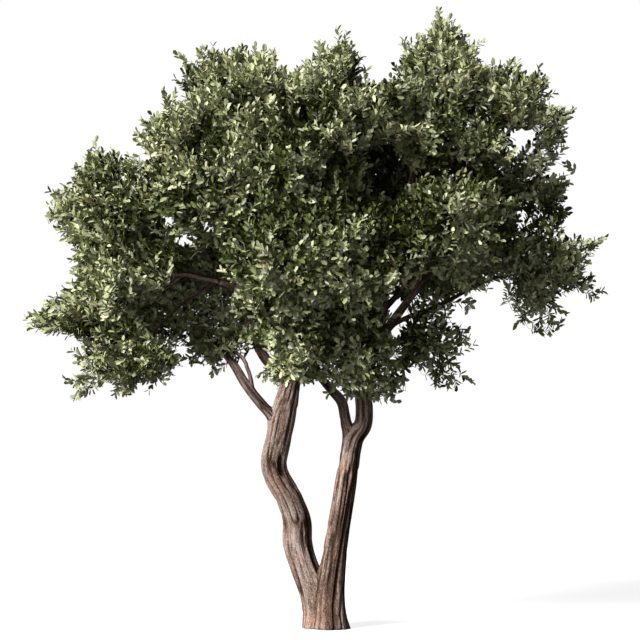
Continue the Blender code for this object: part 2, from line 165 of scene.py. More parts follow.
# Colours, as linear red, green and blue.
LEAF_COLOURS = {
    "leaf_young": (0.47, 0.478, 0.285),
    "leaf_light": (0.345, 0.366, 0.196),
    "leaf_green": (0.225, 0.25, 0.114),
    "leaf_grey": (0.31, 0.328, 0.21),
    "leaf_deep": (0.082, 0.1, 0.03),
    "leaf_olive": (0.245, 0.228, 0.112),
    # Nearly black: painted shade, for leaves where shade falls.
    "leaf_shaded": (0.017, 0.022, 0.002),
}
# Rows of painted light and shade: LEAF_SHARES deals paler leaves where the key light falls and darker
# ones where shade falls.
OPEN, SHADY, INSIDE, LIGHT, DARK = range(5)  # the rows of LEAF_SHARES
LEAF_SHARES = (
    (0.13, 0.29, 0.31, 0.15, 0.06, 0.05, 0.01),  # on the crown's side towards the key light: painted light
    (0.05, 0.18, 0.35, 0.14, 0.19, 0.05, 0.04),  # on its side that the crown shades from the key light: painted shade
    (0.0, 0.02, 0.1, 0.03, 0.39, 0.02, 0.44),  # inside it and round its hollows: deeper painted shade
    (0.17, 0.33, 0.28, 0.14, 0.04, 0.03, 0.01),  # in the light patches of its front: more painted light
    (0.0, 0.0, 0.05, 0.01, 0.3, 0.01, 0.63),  # in the dark patches: the deepest painted shade
)
# Roughly the way towards the key light: shoots with crown that way get painted shade, the others painted
# light.
LIT_SIDE = np.array((-0.56, -0.72, 0.41))
SHADE_REACH = 0.34  # a shoot gets painted shade if the crown goes on so far from it towards the key light
HOLLOW_RIM = 0.09  # shoots this near to a hollow have the leaves of the inside: painted shade round the hollow
PATCH_DEPTH = 0.3  # the painted light and shade patches reach back to this Y
STRAY_LEAVES = 0.42  # share of leaves that don't take their shoot's colour
TWIG_COLOUR = (0.105, 0.08, 0.05)
SHOOT_COLOUR = (0.17, 0.175, 0.075)
# Bark: its ridges, middle ground, brown and fissures, and how many streaks there are to a metre. Its
# darkening towards the nearly black fissures is partly the bark's own colour, partly painted shade in
# grooves and splits.
STEM_BARK = ((0.305, 0.24, 0.212), (0.146, 0.1, 0.08), (0.082, 0.045, 0.028),
             (0.017, 0.009, 0.005), 90.0)
BOUGH_BARK = ((0.23, 0.176, 0.155), (0.098, 0.064, 0.051), (0.043, 0.024, 0.015),
              (0.011, 0.006, 0.004), 120.0)

# Lights: energy, softness, tilt from straight down and turn from behind the camera, in degrees.
LIGHTS = (("key_light", 8.4, 20, 59, -50), ("front_light", 1.0, 60, 95, -10))
FILL = 0.06
FLOOR_RADIUS = 7.0

VIEW_HEIGHT = 2.2176
VIEW_SIDE = -0.0432
VIEW_DISTANCE = 20.0
FRAME_WIDTH = 4.608  # what the view's width covers at the stems


@dataclass(frozen=True)
class Limb:
    """A limb from inside its carrier outwards: the points that it passes, its first and last
    radius, and the mass at whose middle it ends, if it does."""

    name: str
    radii: tuple
    way: tuple
    ends_in: str = ""
    goes_on_from: str = ""  # the limb that it carries on, as one piece of wood


@dataclass(frozen=True)
class Split:
    """A deep split in a stem's bark: its height, its turn from the front and its size."""

    stem: str
    height: float
    turn: float  # degrees, positive to the right
    length: float
    width: float
    depth: float


STEMS = {
    "left_stem": (
        (-0.062, 0.05, 0.0, 0.1), (-0.088, 0.055, 0.22, 0.098), (-0.15, 0.06, 0.41, 0.098),
        (-0.203, 0.085, 0.6, 0.103), (-0.21, 0.075, 0.76, 0.101), (-0.262, 0.04, 0.93, 0.092),
        (-0.352, 0.0, 1.09, 0.09), (-0.374, -0.02, 1.2, 0.092), (-0.343, -0.035, 1.36, 0.088),
        (-0.3, -0.05, 1.56, 0.088), (-0.238, -0.045, 1.8, 0.079),
    ),
    "right_stem": (
        (0.038, -0.03, 0.0, 0.115), (0.036, -0.035, 0.24, 0.101), (0.052, -0.05, 0.44, 0.094),
        (0.084, -0.08, 0.68, 0.086), (0.122, -0.075, 0.92, 0.081), (0.155, -0.04, 1.14, 0.078),
        (0.193, -0.02, 1.36, 0.076),
    ),
}

LIMBS = (
    Limb("low_left_bough", (0.042, 0.012), (
        (-0.324, -0.044, 1.459), (-0.43, -0.09, 1.575), (-0.57, -0.12, 1.75), (-0.68, -0.06, 1.92)
    ), "left_under"),
    Limb("low_left_fork", (0.016, 0.007), (
        (-0.53, -0.108, 1.697), (-0.534, -0.13, 1.78), (-0.562, -0.14, 1.87), (-0.62, -0.1, 1.965)
    ), "left_under"),
    Limb("centre_limb", (0.064, 0.018), (
        (-0.245, -0.045, 1.8), (-0.19, 0.02, 2.05), (-0.09, 0.1, 2.48), (0.01, 0.13, 2.95)
    ), "top_mid", "left_stem"),
    Limb("left_limb", (0.04, 0.027), (
        (-0.256, -0.046, 1.758), (-0.415, 0.0, 1.915), (-0.49, 0.02, 2.04), (-0.554, 0.0, 2.23),
        (-0.598, -0.03, 2.434)
    )),
    Limb("left_arm", (0.026, 0.012), (
        (-0.593, -0.027, 2.411), (-0.75, -0.09, 2.484), (-0.98, -0.15, 2.54), (-1.165, -0.16, 2.585)
    ), "left_high"),
    Limb("upper_left_limb", (0.026, 0.012), (
        (-0.598, -0.03, 2.434), (-0.588, 0.0, 2.56), (-0.576, 0.03, 2.66), (-0.58, 0.06, 2.95)
    ), "top_left", "left_limb"),
    Limb("low_prong", (0.012, 0.006), (
        (-1.007, -0.151, 2.547), (-1.12, -0.17, 2.46), (-1.21, -0.17, 2.4)
    ), "left_low"),
    Limb("hem_prong", (0.014, 0.007), (
        (-0.779, -0.099, 2.493), (-0.97, -0.2, 2.37), (-1.12, -0.25, 2.246)
    ), "left_hem"),
    Limb("shoulder_limb", (0.017, 0.009), (
        (-0.579, 0.021, 2.625), (-0.684, 0.01, 2.67), (-0.75, -0.01, 2.84), (-0.8, -0.03, 3.02)
    ), "left_shoulder"),
    Limb("left_breast_limb", (0.02, 0.01), (
        (-0.563, -0.008, 2.282), (-0.6, -0.2, 2.58), (-0.7, -0.42, 2.8)
    ), "left_breast"),
    Limb("back_left_limb", (0.024, 0.012), (
        (-0.513, 0.007, 2.119), (-0.62, 0.28, 2.32), (-0.74, 0.6, 2.5)
    ), "back_left"),
    Limb("mid_breast_limb", (0.028, 0.012), (
        (-0.085, 0.101, 2.501), (-0.09, -0.18, 2.7), (-0.11, -0.4, 2.95)
    ), "mid_breast"),
    Limb("front_limb", (0.032, 0.014), (
        (-0.185, 0.024, 2.071), (-0.215, -0.3, 2.17), (-0.24, -0.6, 2.34)
    ), "front_high"),
    Limb("back_limb", (0.034, 0.014), (
        (-0.167, 0.041, 2.148), (-0.14, 0.42, 2.36), (-0.07, 0.78, 2.62)
    ), "back_mid"),
    Limb("back_top_limb", (0.02, 0.01), (
        (-0.125, 0.497, 2.415), (-0.04, 0.56, 2.8), (0.04, 0.66, 3.15)
    ), "back_top"),
    Limb("right_bough", (0.07, 0.04), (
        (0.191, -0.021, 1.346), (0.262, -0.02, 1.46), (0.274, -0.01, 1.58), (0.268, 0.0, 1.7),
        (0.3, 0.01, 1.88), (0.375, 0.02, 2.07)
    ), "", "right_stem"),
    Limb("inner_fork", (0.043, 0.014), (
        (0.186, -0.023, 1.323), (0.146, -0.04, 1.45), (0.131, -0.06, 1.54), (0.105, -0.1, 1.64),
        (0.01, -0.2, 1.75)
    ), "front_low"),
    Limb("right_limb", (0.034, 0.013), (
        (0.369, 0.019, 2.056), (0.497, -0.04, 2.23), (0.59, -0.12, 2.36), (0.71, -0.3, 2.54)
    ), "right_breast"),
    Limb("tall_limb", (0.038, 0.016), (
        (0.375, 0.02, 2.07), (0.42, 0.08, 2.35), (0.49, 0.1, 2.75), (0.61, 0.07, 3.2)
    ), "top_right", "right_bough"),
    Limb("tip_limb", (0.019, 0.008), (
        (0.459, -0.022, 2.178), (0.62, 0.03, 2.25), (0.83, 0.06, 2.33), (1.02, 0.07, 2.43),
        (1.24, 0.06, 2.53)
    ), "right_tip"),
    Limb("low_right_limb", (0.024, 0.011), (
        (0.339, 0.015, 1.971), (0.44, 0.08, 2.02), (0.53, 0.11, 2.05)
    ), "right_low"),
    Limb("front_right_limb", (0.026, 0.011), (
        (0.308, 0.01, 1.886), (0.29, -0.32, 2.1), (0.27, -0.6, 2.34)
    ), "front_right"),
    Limb("front_hem_limb", (0.02, 0.01), (
        (0.279, -0.003, 1.678), (0.285, -0.14, 1.75), (0.27, -0.26, 1.8)
    ), "front_hem"),
    Limb("far_limb", (0.024, 0.012), (
        (0.464, 0.097, 2.614), (0.64, 0.16, 2.92), (0.9, 0.18, 3.28)
    ), "far_top_right"),
    Limb("right_high_limb", (0.017, 0.008), (
        (0.682, 0.167, 2.985), (0.9, 0.24, 2.98), (1.08, 0.27, 3.08)
    ), "right_high"),
    Limb("back_right_limb", (0.025, 0.011), (
        (0.409, 0.069, 2.285), (0.54, 0.38, 2.42), (0.68, 0.66, 2.58)
    ), "back_right"),
    Limb("heart_limb", (0.018, 0.009), (
        (0.439, 0.091, 2.467), (0.48, 0.24, 2.86), (0.49, 0.36, 3.0)
    ), "heart_right"),
    Limb("back_low_limb", (0.02, 0.01), (
        (0.286, 0.005, 1.799), (0.2, 0.3, 1.93), (0.08, 0.52, 2.05)
    ), "back_low"),
)

SPLITS = (
    Split("left_stem", 1.175, 32, 0.075, 0.017, 0.04),
    Split("left_stem", 0.6, 58, 0.15, 0.012, 0.028),
    Split("left_stem", 0.64, 24, 0.11, 0.008, 0.016),
    Split("left_stem", 0.76, -62, 0.13, 0.01, 0.02),
    Split("left_stem", 0.45, 50, 0.09, 0.012, 0.022),
    Split("left_stem", 1.5, 40, 0.16, 0.01, 0.018),
    Split("right_stem", 0.82, 30, 0.17, 0.011, 0.018),
    Split("right_stem", 1.08, 12, 0.11, 0.009, 0.015),
    Split("right_stem", 0.35, 22, 0.13, 0.01, 0.016),
    Split("right_stem", 1.35, -10, 0.09, 0.01, 0.014),
)

# Tufts that fill the masses out: the middles and radii of balls.
TUFTS = {
    "top_left": (
        (-0.6, -0.55, 3.58, 0.27), (-0.42, -0.25, 3.86, 0.21), (-1.03, 0.1, 4.03, 0.12),
        (-0.52, 0.1, 3.62, 0.2), (-0.5, 0.3, 3.5, 0.2), (-0.45, -0.56, 3.92, 0.18),
        (-0.66, -0.82, 3.5, 0.18), (-0.62, 0.05, 4.12, 0.12),
    ),
    "left_shoulder": ((-0.86, -0.6, 3.62, 0.25), (-1.13, -0.1, 3.76, 0.13), (-0.74, 0.4, 3.04, 0.23)),
    "left_high": (
        (-1.6, -0.42, 2.78, 0.24), (-1.38, -0.42, 3.17, 0.24), (-1.32, -0.48, 2.98, 0.18),
        (-1.42, -0.25, 2.66, 0.22), (-1.25, -0.3, 2.74, 0.2),
    ),
    "left_breast": (
        (-0.92, -0.5, 2.82, 0.19), (-0.61, -0.95, 3.09, 0.2), (-0.84, -0.72, 2.92, 0.18),
        (-0.62, -0.98, 3.28, 0.15),
    ),
    "mid_breast": ((0.05, -0.85, 3.52, 0.18), (-0.5, -0.9, 3.26, 0.18), (0.04, -0.8, 3.74, 0.17)),
    "right_breast": ((0.92, -0.75, 2.67, 0.25), (0.97, -0.52, 2.48, 0.11), (1.04, -0.42, 2.37, 0.11)),
    "far_top_right": (
        (1.33, -0.2, 3.72, 0.24), (1.2, -0.3, 3.46, 0.23), (1.5, -0.08, 3.62, 0.22),
        (1.18, 0.25, 3.42, 0.18), (1.7, 0.15, 3.66, 0.12), (1.24, -0.52, 3.42, 0.17),
    ),
    "top_right": (
        (0.66, -0.2, 3.46, 0.22), (1.01, -0.2, 4.05, 0.21), (0.83, 0.0, 4.36, 0.1),
        (0.56, 0.0, 4.13, 0.12), (0.56, 0.15, 3.66, 0.15), (0.95, 0.25, 3.4, 0.26),
        (0.8, -0.62, 3.58, 0.2), (0.68, -0.8, 3.46, 0.14),
    ),
    "top_mid": (
        (-0.26, -0.2, 3.88, 0.22), (0.37, -0.4, 3.77, 0.22), (0.08, 0.1, 4.22, 0.13),
        (-0.14, -0.62, 3.92, 0.19), (0.0, 0.12, 3.0, 0.3), (-0.04, 0.14, 2.74, 0.19),
        (-0.18, -0.52, 3.78, 0.14), (0.36, -0.62, 3.58, 0.17),
    ),
    "left_low": (
        (-1.64, -0.5, 2.62, 0.22), (-1.24, -0.5, 2.52, 0.2), (-2.04, -0.1, 2.22, 0.12),
        (-1.5, -0.7, 2.46, 0.17),
    ),
    "right_high": ((1.75, 0.2, 3.15, 0.12), (1.71, 0.2, 3.1, 0.1), (1.66, 0.15, 3.5, 0.12)),
    "back_left": (
        (-1.0, 0.35, 2.55, 0.25), (-0.72, 0.4, 2.48, 0.2), (-0.56, 0.68, 2.88, 0.23),
        (-0.45, 0.66, 2.5, 0.2),
    ),
    "left_under": (
        (-0.66, 0.05, 2.12, 0.18), (-0.85, 0.1, 1.98, 0.16), (-0.7, -0.05, 1.97, 0.12),
        (-0.52, -0.25, 2.24, 0.16), (-0.48, -0.25, 2.09, 0.12), (-0.6, -0.12, 2.02, 0.1),
    ),
    "left_hem": ((-1.14, -0.3, 1.88, 0.13), (-1.73, -0.33, 1.77, 0.11), (-1.08, -0.3, 1.98, 0.09)),
    "front_low": ((-0.4, -0.6, 1.8, 0.11),),
    "front_hem": ((0.4, -0.3, 1.72, 0.14),),
    "right_low": (
        (0.73, -0.02, 2.33, 0.17), (0.93, 0.12, 2.35, 0.13), (0.52, 0.0, 1.82, 0.16),
        (0.93, 0.1, 1.77, 0.11), (0.55, 0.0, 1.78, 0.12),
    ),
    "right_tip": (
        (1.55, 0.0, 2.2, 0.14), (1.37, 0.05, 2.3, 0.12), (1.07, 0.06, 2.38, 0.09),
        (0.87, 0.05, 2.36, 0.09), (0.68, 0.02, 2.29, 0.08), (1.98, 0.03, 2.76, 0.1),
        (1.96, 0.03, 2.39, 0.1), (1.34, 0.05, 2.4, 0.1), (1.9, 0.03, 2.42, 0.08),
    ),
    "front_high": ((-0.5, -0.46, 2.36, 0.19), (-0.46, -0.38, 2.16, 0.15)),
    "back_top": ((0.0, 0.6, 2.94, 0.25),),
    "heart_right": ((0.35, 0.08, 2.84, 0.2), (0.7, -0.28, 3.12, 0.16)),
}

SHADE_PAINTED_MASSES = ("right_low", "right_high")  # painted shade: all their outer leaves count as on the shady side

# Masses whose shoots stand apart, with the share of them that grows.
THIN = {"right_tip": 0.55, "right_high": 0.6, "far_top_right": 0.76, "right_low": 0.54,
        "left_hem": 0.72, "left_under": 0.65, "left_low": 0.85, "back_left": 0.8,
        "front_hem": 0.8}

# The tips of sprays that stand out of the crown, by the mass that they grow from.
SPRAYS = {
    "right_tip": (
        (2.03, 0.0, 2.79), (2.0, 0.0, 2.36), (1.86, -0.05, 2.47), (1.61, 0.0, 2.1), (1.38, 0.0, 2.16),
        (1.5, -0.1, 2.14),
    ),
    "right_high": ((1.8, 0.2, 3.16), (1.79, 0.2, 2.94), (1.76, 0.2, 3.47), (1.78, 0.2, 3.04)),
    "far_top_right": ((1.74, 0.1, 3.71), (1.59, 0.1, 3.93), (1.59, 0.1, 4.01), (1.36, 0.1, 4.12)),
    "top_right": (
        (0.84, 0.0, 4.44), (0.96, 0.0, 4.38), (1.11, 0.1, 4.24), (0.52, 0.0, 4.19), (0.62, 0.05, 4.23),
    ),
    "top_mid": ((0.08, 0.05, 4.24), (-0.06, 0.05, 4.15), (0.34, 0.1, 4.09), (0.2, 0.05, 4.21)),
    "top_left": ((-0.87, 0.1, 4.19), (-1.03, 0.1, 4.06), (-0.62, 0.05, 4.21), (-0.4, 0.1, 4.1)),
    "left_shoulder": ((-1.36, 0.0, 3.62),),
    "left_high": (
        (-1.71, 0.0, 3.47), (-1.55, 0.0, 3.44), (-1.97, -0.05, 3.12), (-1.99, -0.05, 2.95),
        (-1.93, -0.1, 2.86),
    ),
    "left_low": ((-2.12, -0.1, 2.19), (-2.03, -0.1, 2.24), (-1.92, -0.1, 2.12)),
    "left_hem": ((-1.85, -0.35, 1.74), (-1.8, -0.3, 1.64), (-1.5, -0.4, 1.69), (-1.17, -0.35, 1.78)),
    "left_under": ((-0.96, 0.2, 1.9), (-0.78, 0.15, 1.82)),
    "right_low": (
        (1.06, 0.1, 1.72), (1.06, 0.1, 2.03), (0.9, 0.1, 1.69), (0.78, 0.05, 1.72), (1.02, 0.05, 2.14),
    ),
    "front_hem": ((0.16, -0.45, 1.62), (0.46, -0.4, 1.6)),
}

# Hollows in the crown: the middles and radii of balls in which nothing grows.
HOLLOWS = (
    (0.74, -0.86, 3.24, 0.2), (1.02, -1.12, 3.24, 0.27), (1.2, -0.6, 3.15, 0.18),
    (0.6, -0.96, 3.12, 0.19), (-0.24, -0.98, 3.58, 0.17), (-0.1, -0.66, 3.58, 0.12),
    (-0.28, -1.34, 3.03, 0.33), (-0.05, -1.27, 2.98, 0.2), (-0.74, -1.15, 2.74, 0.2),
    (0.47, -1.1, 3.02, 0.19), (-1.36, -0.74, 2.09, 0.23), (-0.94, -1.14, 3.12, 0.17),
    (-1.24, -0.47, 2.8, 0.15), (1.5, -0.24, 2.85, 0.12), (0.56, -0.44, 3.43, 0.1),
    (0.58, -0.44, 3.31, 0.13), (0.45, -1.34, 2.78, 0.18), (0.09, -1.04, 3.22, 0.14),
    (1.1, -0.46, 3.6, 0.11), (-1.12, -0.64, 2.66, 0.12), (1.04, -0.82, 3.25, 0.21),
    (0.4, -1.22, 2.98, 0.19), (0.7, -1.12, 3.14, 0.16), (-1.09, -1.02, 3.06, 0.13),
    (-0.57, -1.34, 2.5, 0.08), (-0.06, -1.5, 2.54, 0.09), (-1.57, -0.56, 3.18, 0.09),
    (1.62, -0.02, 2.95, 0.1), (0.92, -0.44, 3.56, 0.1), (1.05, -0.54, 3.19, 0.15),
    (1.22, -0.38, 3.22, 0.09),
)

# Parts of the crown's front given painted light, with paler leaves, and painted shade, with darker
# leaves, as circles like the windows.
PAINTED_LIGHT_PATCHES = (
    (-0.12, 3.91, 0.16), (-0.33, 3.88, 0.14), (-0.5, 3.93, 0.14), (-0.8, 3.66, 0.14), (-0.96, 3.56, 0.12),
    (-1.24, 3.38, 0.14), (-1.03, 3.22, 0.08), (-0.55, 3.47, 0.14), (-0.65, 3.32, 0.1), (-0.5, 3.22, 0.13),
    (-0.63, 3.08, 0.15), (-0.16, 3.15, 0.09), (-1.37, 3.1, 0.1), (-1.4, 2.72, 0.11), (-1.5, 2.48, 0.18),
    (-1.1, 2.5, 0.13), (-1.8, 2.92, 0.11), (-1.5, 2.25, 0.12), (-0.68, 2.24, 0.17), (-0.2, 2.3, 0.13),
    (-0.37, 2.46, 0.1), (-0.2, 1.87, 0.12), (-0.02, 1.88, 0.12), (0.1, 1.95, 0.08), (0.21, 3.72, 0.09),
    (0.62, 3.8, 0.08), (0.6, 4.04, 0.07), (1.08, 4.05, 0.1), (1.05, 3.82, 0.1), (1.33, 3.73, 0.1),
    (1.25, 3.4, 0.13), (1.5, 3.22, 0.16), (0.97, 3.0, 0.12), (1.17, 3.02, 0.08), (0.87, 2.62, 0.17),
    (1.24, 2.58, 0.11), (0.28, 2.66, 0.09), (0.1, 3.43, 0.09), (0.88, 4.24, 0.14), (0.5, 2.42, 0.1),
    (-1.6, 2.0, 0.1), (-0.4, 3.6, 0.1), (0.94, 2.84, 0.06), (1.56, 3.64, 0.1), (1.38, 3.66, 0.07),
    (0.13, 2.43, 0.1), (-0.85, 2.87, 0.09), (-1.62, 3.3, 0.09), (-1.62, 2.78, 0.09), (-1.13, 2.83, 0.09),
    (-0.1, 3.28, 0.07), (0.0, 2.68, 0.09), (1.42, 3.28, 0.09), (-0.82, 1.99, 0.08),
)
PAINTED_SHADE_PATCHES = (
    (-0.26, 3.46, 0.13), (-0.02, 3.63, 0.09), (0.12, 3.28, 0.1), (-0.8, 3.37, 0.11), (-0.83, 3.5, 0.08),
    (-0.55, 3.72, 0.09), (-1.0, 3.04, 0.11), (-1.14, 2.95, 0.08), (0.02, 2.89, 0.12), (-0.2, 2.95, 0.1),
    (-0.15, 2.51, 0.09), (0.37, 3.0, 0.15), (0.5, 3.2, 0.14), (0.68, 3.18, 0.13), (0.46, 2.78, 0.15),
    (0.4, 2.64, 0.08), (1.0, 3.22, 0.16), (1.13, 3.15, 0.12), (0.78, 2.83, 0.12), (1.24, 2.76, 0.14),
    (1.52, 2.92, 0.15), (1.68, 2.93, 0.13), (-0.95, 2.74, 0.1), (-0.45, 2.1, 0.1), (0.53, 2.16, 0.09),
    (1.16, 3.56, 0.09), (-1.52, 3.12, 0.07), (-1.86, 2.45, 0.08), (0.74, 2.4, 0.08), (-1.47, 2.95, 0.08),
    (-0.14, 2.05, 0.07), (1.29, 3.09, 0.09), (0.31, 2.89, 0.08), (0.6, 3.08, 0.09), (0.84, 3.62, 0.11),
    (0.38, 3.72, 0.08), (-1.0, 3.82, 0.1), (-0.82, 3.12, 0.08), (-0.5, 2.49, 0.08), (-1.74, 2.12, 0.08),
    (0.17, 3.88, 0.07), (0.88, 1.82, 0.09), (1.47, 3.95, 0.12),
)

# Windows in the foliage, as seen from the front: side, height and radius at the stems' depth.
WINDOWS = (
    # Gaps inside the crown.
    (-0.85, 2.87, 0.055), (-1.02, 2.8, 0.06), (-0.93, 2.77, 0.04), (-1.13, 2.92, 0.055),
    (-0.91, 3.1, 0.04), (-0.73, 3.02, 0.035), (-1.3, 3.19, 0.045), (-0.52, 2.55, 0.035),
    (-0.45, 1.99, 0.04), (0.45, 2.33, 0.06), (0.53, 2.23, 0.04), (0.52, 2.46, 0.04), (0.46, 2.16, 0.05),
    (1.1, 2.98, 0.03), (1.38, 3.49, 0.07), (1.02, 3.61, 0.045), (-1.46, 3.23, 0.04), (-1.28, 3.36, 0.035),
    (1.38, 2.95, 0.035), (1.52, 2.97, 0.03), (1.15, 3.64, 0.04), (1.25, 3.56, 0.04),
    # The crown's outline, from the notch at the top round to the right.
    (0.4, 3.99, 0.11), (0.28, 3.97, 0.07), (0.48, 4.08, 0.075), (0.69, 4.28, 0.06), (0.72, 4.37, 0.075),
    (1.19, 4.16, 0.1), (1.47, 4.08, 0.085), (1.68, 3.81, 0.09), (1.56, 3.77, 0.04), (1.53, 3.58, 0.04),
    (1.72, 3.57, 0.05), (1.65, 3.31, 0.1), (1.78, 3.12, 0.07), (1.76, 2.87, 0.07), (1.94, 2.65, 0.1),
    (1.73, 2.34, 0.1), (1.46, 2.26, 0.05), (1.22, 2.41, 0.095), (0.95, 2.26, 0.06), (0.98, 1.89, 0.09),
    (0.66, 1.74, 0.06), (0.36, 1.87, 0.035), (0.44, 1.81, 0.03), (0.37, 1.7, 0.035), (0.74, 1.98, 0.03),
    (0.84, 2.06, 0.03), (0.66, 1.86, 0.04), (-0.05, 1.69, 0.1),
    # The outline from the left stem round to the top.
    (-0.49, 1.91, 0.09), (-0.9, 1.82, 0.05), (-1.02, 1.99, 0.035), (-1.31, 1.7, 0.07),
    (-1.62, 1.73, 0.06), (-1.87, 1.87, 0.09), (-1.9, 2.06, 0.06), (-2.08, 2.37, 0.1), (-1.97, 2.44, 0.1),
    (-1.88, 2.53, 0.1), (-1.88, 2.7, 0.09), (-1.91, 3.27, 0.13), (-2.05, 3.14, 0.08), (-1.83, 3.41, 0.1),
    (-1.61, 3.44, 0.045), (-1.42, 3.45, 0.09), (-1.23, 3.75, 0.07), (-0.76, 4.21, 0.08),
    (-0.28, 4.08, 0.11), (-0.16, 4.11, 0.07),
)


# --- Noise and vectors ---


def lattice(x, y, z, seed):
    """A value from -1 to 1 for each whole-numbered point: its three numbers, hashed."""
    x, y, z = (v.astype(np.int64) for v in (x, y, z))
    mixed = (x * 73856093) ^ (y * 19349663) ^ (z * 83492791) ^ (seed * 2654435761)
    mixed = ((mixed ^ (mixed >> 13)) * 1274126177) & 0xFFFFFFFF
    mixed = (mixed ^ (mixed >> 16)) & 0xFFFF
    return mixed / 32767.5 - 1


def noise(points, seed):
    """Smooth noise: the lattice's values at a cell's corners, blended by a quintic curve."""
    base = np.floor(points)
    part = points - base
    ease = part**3 * (part * (part * 6 - 15) + 10)
    total = 0
    for corner in np.ndindex(2, 2, 2):
        weight = np.prod(np.where(corner, ease, 1 - ease), axis=-1)
        x, y, z = np.moveaxis(base + corner, -1, 0)
        total = total + weight * lattice(x, y, z, seed)
    return total


def unit(vectors):
    return vectors / np.maximum(np.linalg.norm(vectors, axis=-1, keepdims=True), 1e-12)


def across(directions):
    """Two unit vectors square to each direction and to each other."""
    steep = np.abs(directions[..., 2:3]) > 0.9
    side = unit(np.cross(directions, np.where(steep, (1.0, 0.0, 0.0), (0.0, 0.0, 1.0))))
    return side, np.cross(directions, side)


# --- Meshes ---


def build(name, points, faces, materials, slot, replaced, kinds=None, values=None):
    """A piece from points and faces. faces is a list of whole-number arrays, each of faces with
    equally many corners. kinds gives their material numbers, and values the points' by name."""
    mesh = bpy.data.meshes.new(name)
    mesh.vertices.add(len(points))
    mesh.vertices.foreach_set("co", np.asarray(points, np.float32).ravel())
    corners = np.concatenate([block.ravel() for block in faces])
    sizes = np.concatenate([np.full(len(block), block.shape[1]) for block in faces])
    mesh.loops.add(len(corners))
    mesh.loops.foreach_set("vertex_index", corners.astype(np.int32))
    mesh.polygons.add(len(sizes))
    starts = np.concatenate([[0], np.cumsum(sizes)[:-1]])
    mesh.polygons.foreach_set("loop_start", starts.astype(np.int32))
    if kinds is not None:
        mesh.polygons.foreach_set("material_index", np.concatenate(kinds).astype(np.int32))
    mesh.polygons.foreach_set("use_smooth", np.ones(len(sizes), bool))
    mesh.update(calc_edges=True)
    for label, value in (values or {}).items():
        form, field = ("FLOAT", "value") if value.ndim == 1 else ("FLOAT_VECTOR", "vector")
        layer = mesh.attributes.new(label, form, "POINT")
        layer.data.foreach_set(field, value.astype(np.float32).ravel())
    for material in materials:
        mesh.materials.append(material)
    piece = bpy.data.objects.new(name, mesh)
    bpy.context.scene.collection.objects.link(piece)
    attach(piece, "root")
    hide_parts(*replaced)


def stacked(parts):
    """Several (points, faces, values by name) joined as one, with the faces' numbers moved on."""
    points, faces, values, count = [], [], [], 0
    for part_points, part_faces, part_values in parts:
        points.append(part_points)
        faces += [block + count for block in part_faces]
        values.append(part_values)
        count += len(part_points)
    merged = {key: np.concatenate([value[key] for value in values]) for key in values[0]}
    return np.concatenate(points), faces, merged


def grid_faces(rings, sides):
    """Quads of a closed tube of rings, and a face over each end."""
    ring, side = np.meshgrid(np.arange(rings - 1), np.arange(sides), indexing="ij")
    following = (side + 1) % sides
    quads = np.stack([ring * sides + side, ring * sides + following,
                      (ring + 1) * sides + following, (ring + 1) * sides + side], -1)
    around = np.arange(sides)
    return [quads.reshape(-1, 4), around[None, ::-1], around[None] + (rings - 1) * sides]


# --- Wood ---


def smooth_rows(rows):
    """Rows along a Catmull-Rom spline through the given ones."""
    padded = np.vstack([2 * rows[0] - rows[1], rows, 2 * rows[-1] - rows[-2]])
    t = np.linspace(0, 1, SMOOTHNESS, endpoint=False)[:, None]
    pieces = []
    for a, b, c, d in zip(padded, padded[1:], padded[2:], padded[3:]):
        pieces.append(0.5 * (2 * b + (c - a) * t + (2 * a - 5 * b + 4 * c - d) * t**2
                             + (3 * b - a - 3 * c + d) * t**3))
    return np.vstack([*pieces, rows[-1:]])


def lengths(points):
    steps = np.linalg.norm(np.diff(points[:, :3], axis=0), axis=1)
    return np.concatenate([[0.0], np.cumsum(steps)])


def limb_rows(limb, middles):
    """The limb's points with radii, thinning as (1 - share of its length) to the power TAPER."""
    way = list(limb.way) + ([middles[limb.ends_in]] if limb.ends_in else [])
    points = np.array(way, float)
    share = lengths(points) / lengths(points)[-1]
    start, end = limb.radii
    return np.column_stack([points, end + (start - end) * (1 - share) ** TAPER])


def wood_lines(middles):
    """Each run of wood as rows of x, y, z and radius: a stem or limb with what carries it on.
    Also gives the run that each limb is part of."""
    runs = {name: np.array(rows) for name, rows in STEMS.items()}
    run_of = {name: name for name in STEMS}
    for limb in LIMBS:
        rows = limb_rows(limb, middles)
        if limb.goes_on_from:
            run = run_of[limb.name] = run_of[limb.goes_on_from]
            runs[run] = np.vstack([runs[run][:-1], rows])
        else:
            run_of[limb.name] = limb.name
            runs[limb.name] = rows
    lines = {name: smooth_rows(rows) for name, rows in runs.items()}
    return lines, {limb.name: lines[run_of[limb.name]] for limb in LIMBS}


def resampled(line, steps):
    """Rows along a line and their way along it, at steps that depend on the radius."""
    along = lengths(line)
    fine = np.linspace(0, along[-1], FINE_STEPS)
    count = np.cumsum(1 / np.interp(np.interp(fine, along, line[:, 3]), *steps))
    rings = max(LEAST_RINGS, round(count[-1] * fine[1]))
    stations = np.interp(np.linspace(count[0], count[-1], rings), count, fine)
    return np.column_stack([np.interp(stations, along, line[:, k]) for k in range(4)]), stations


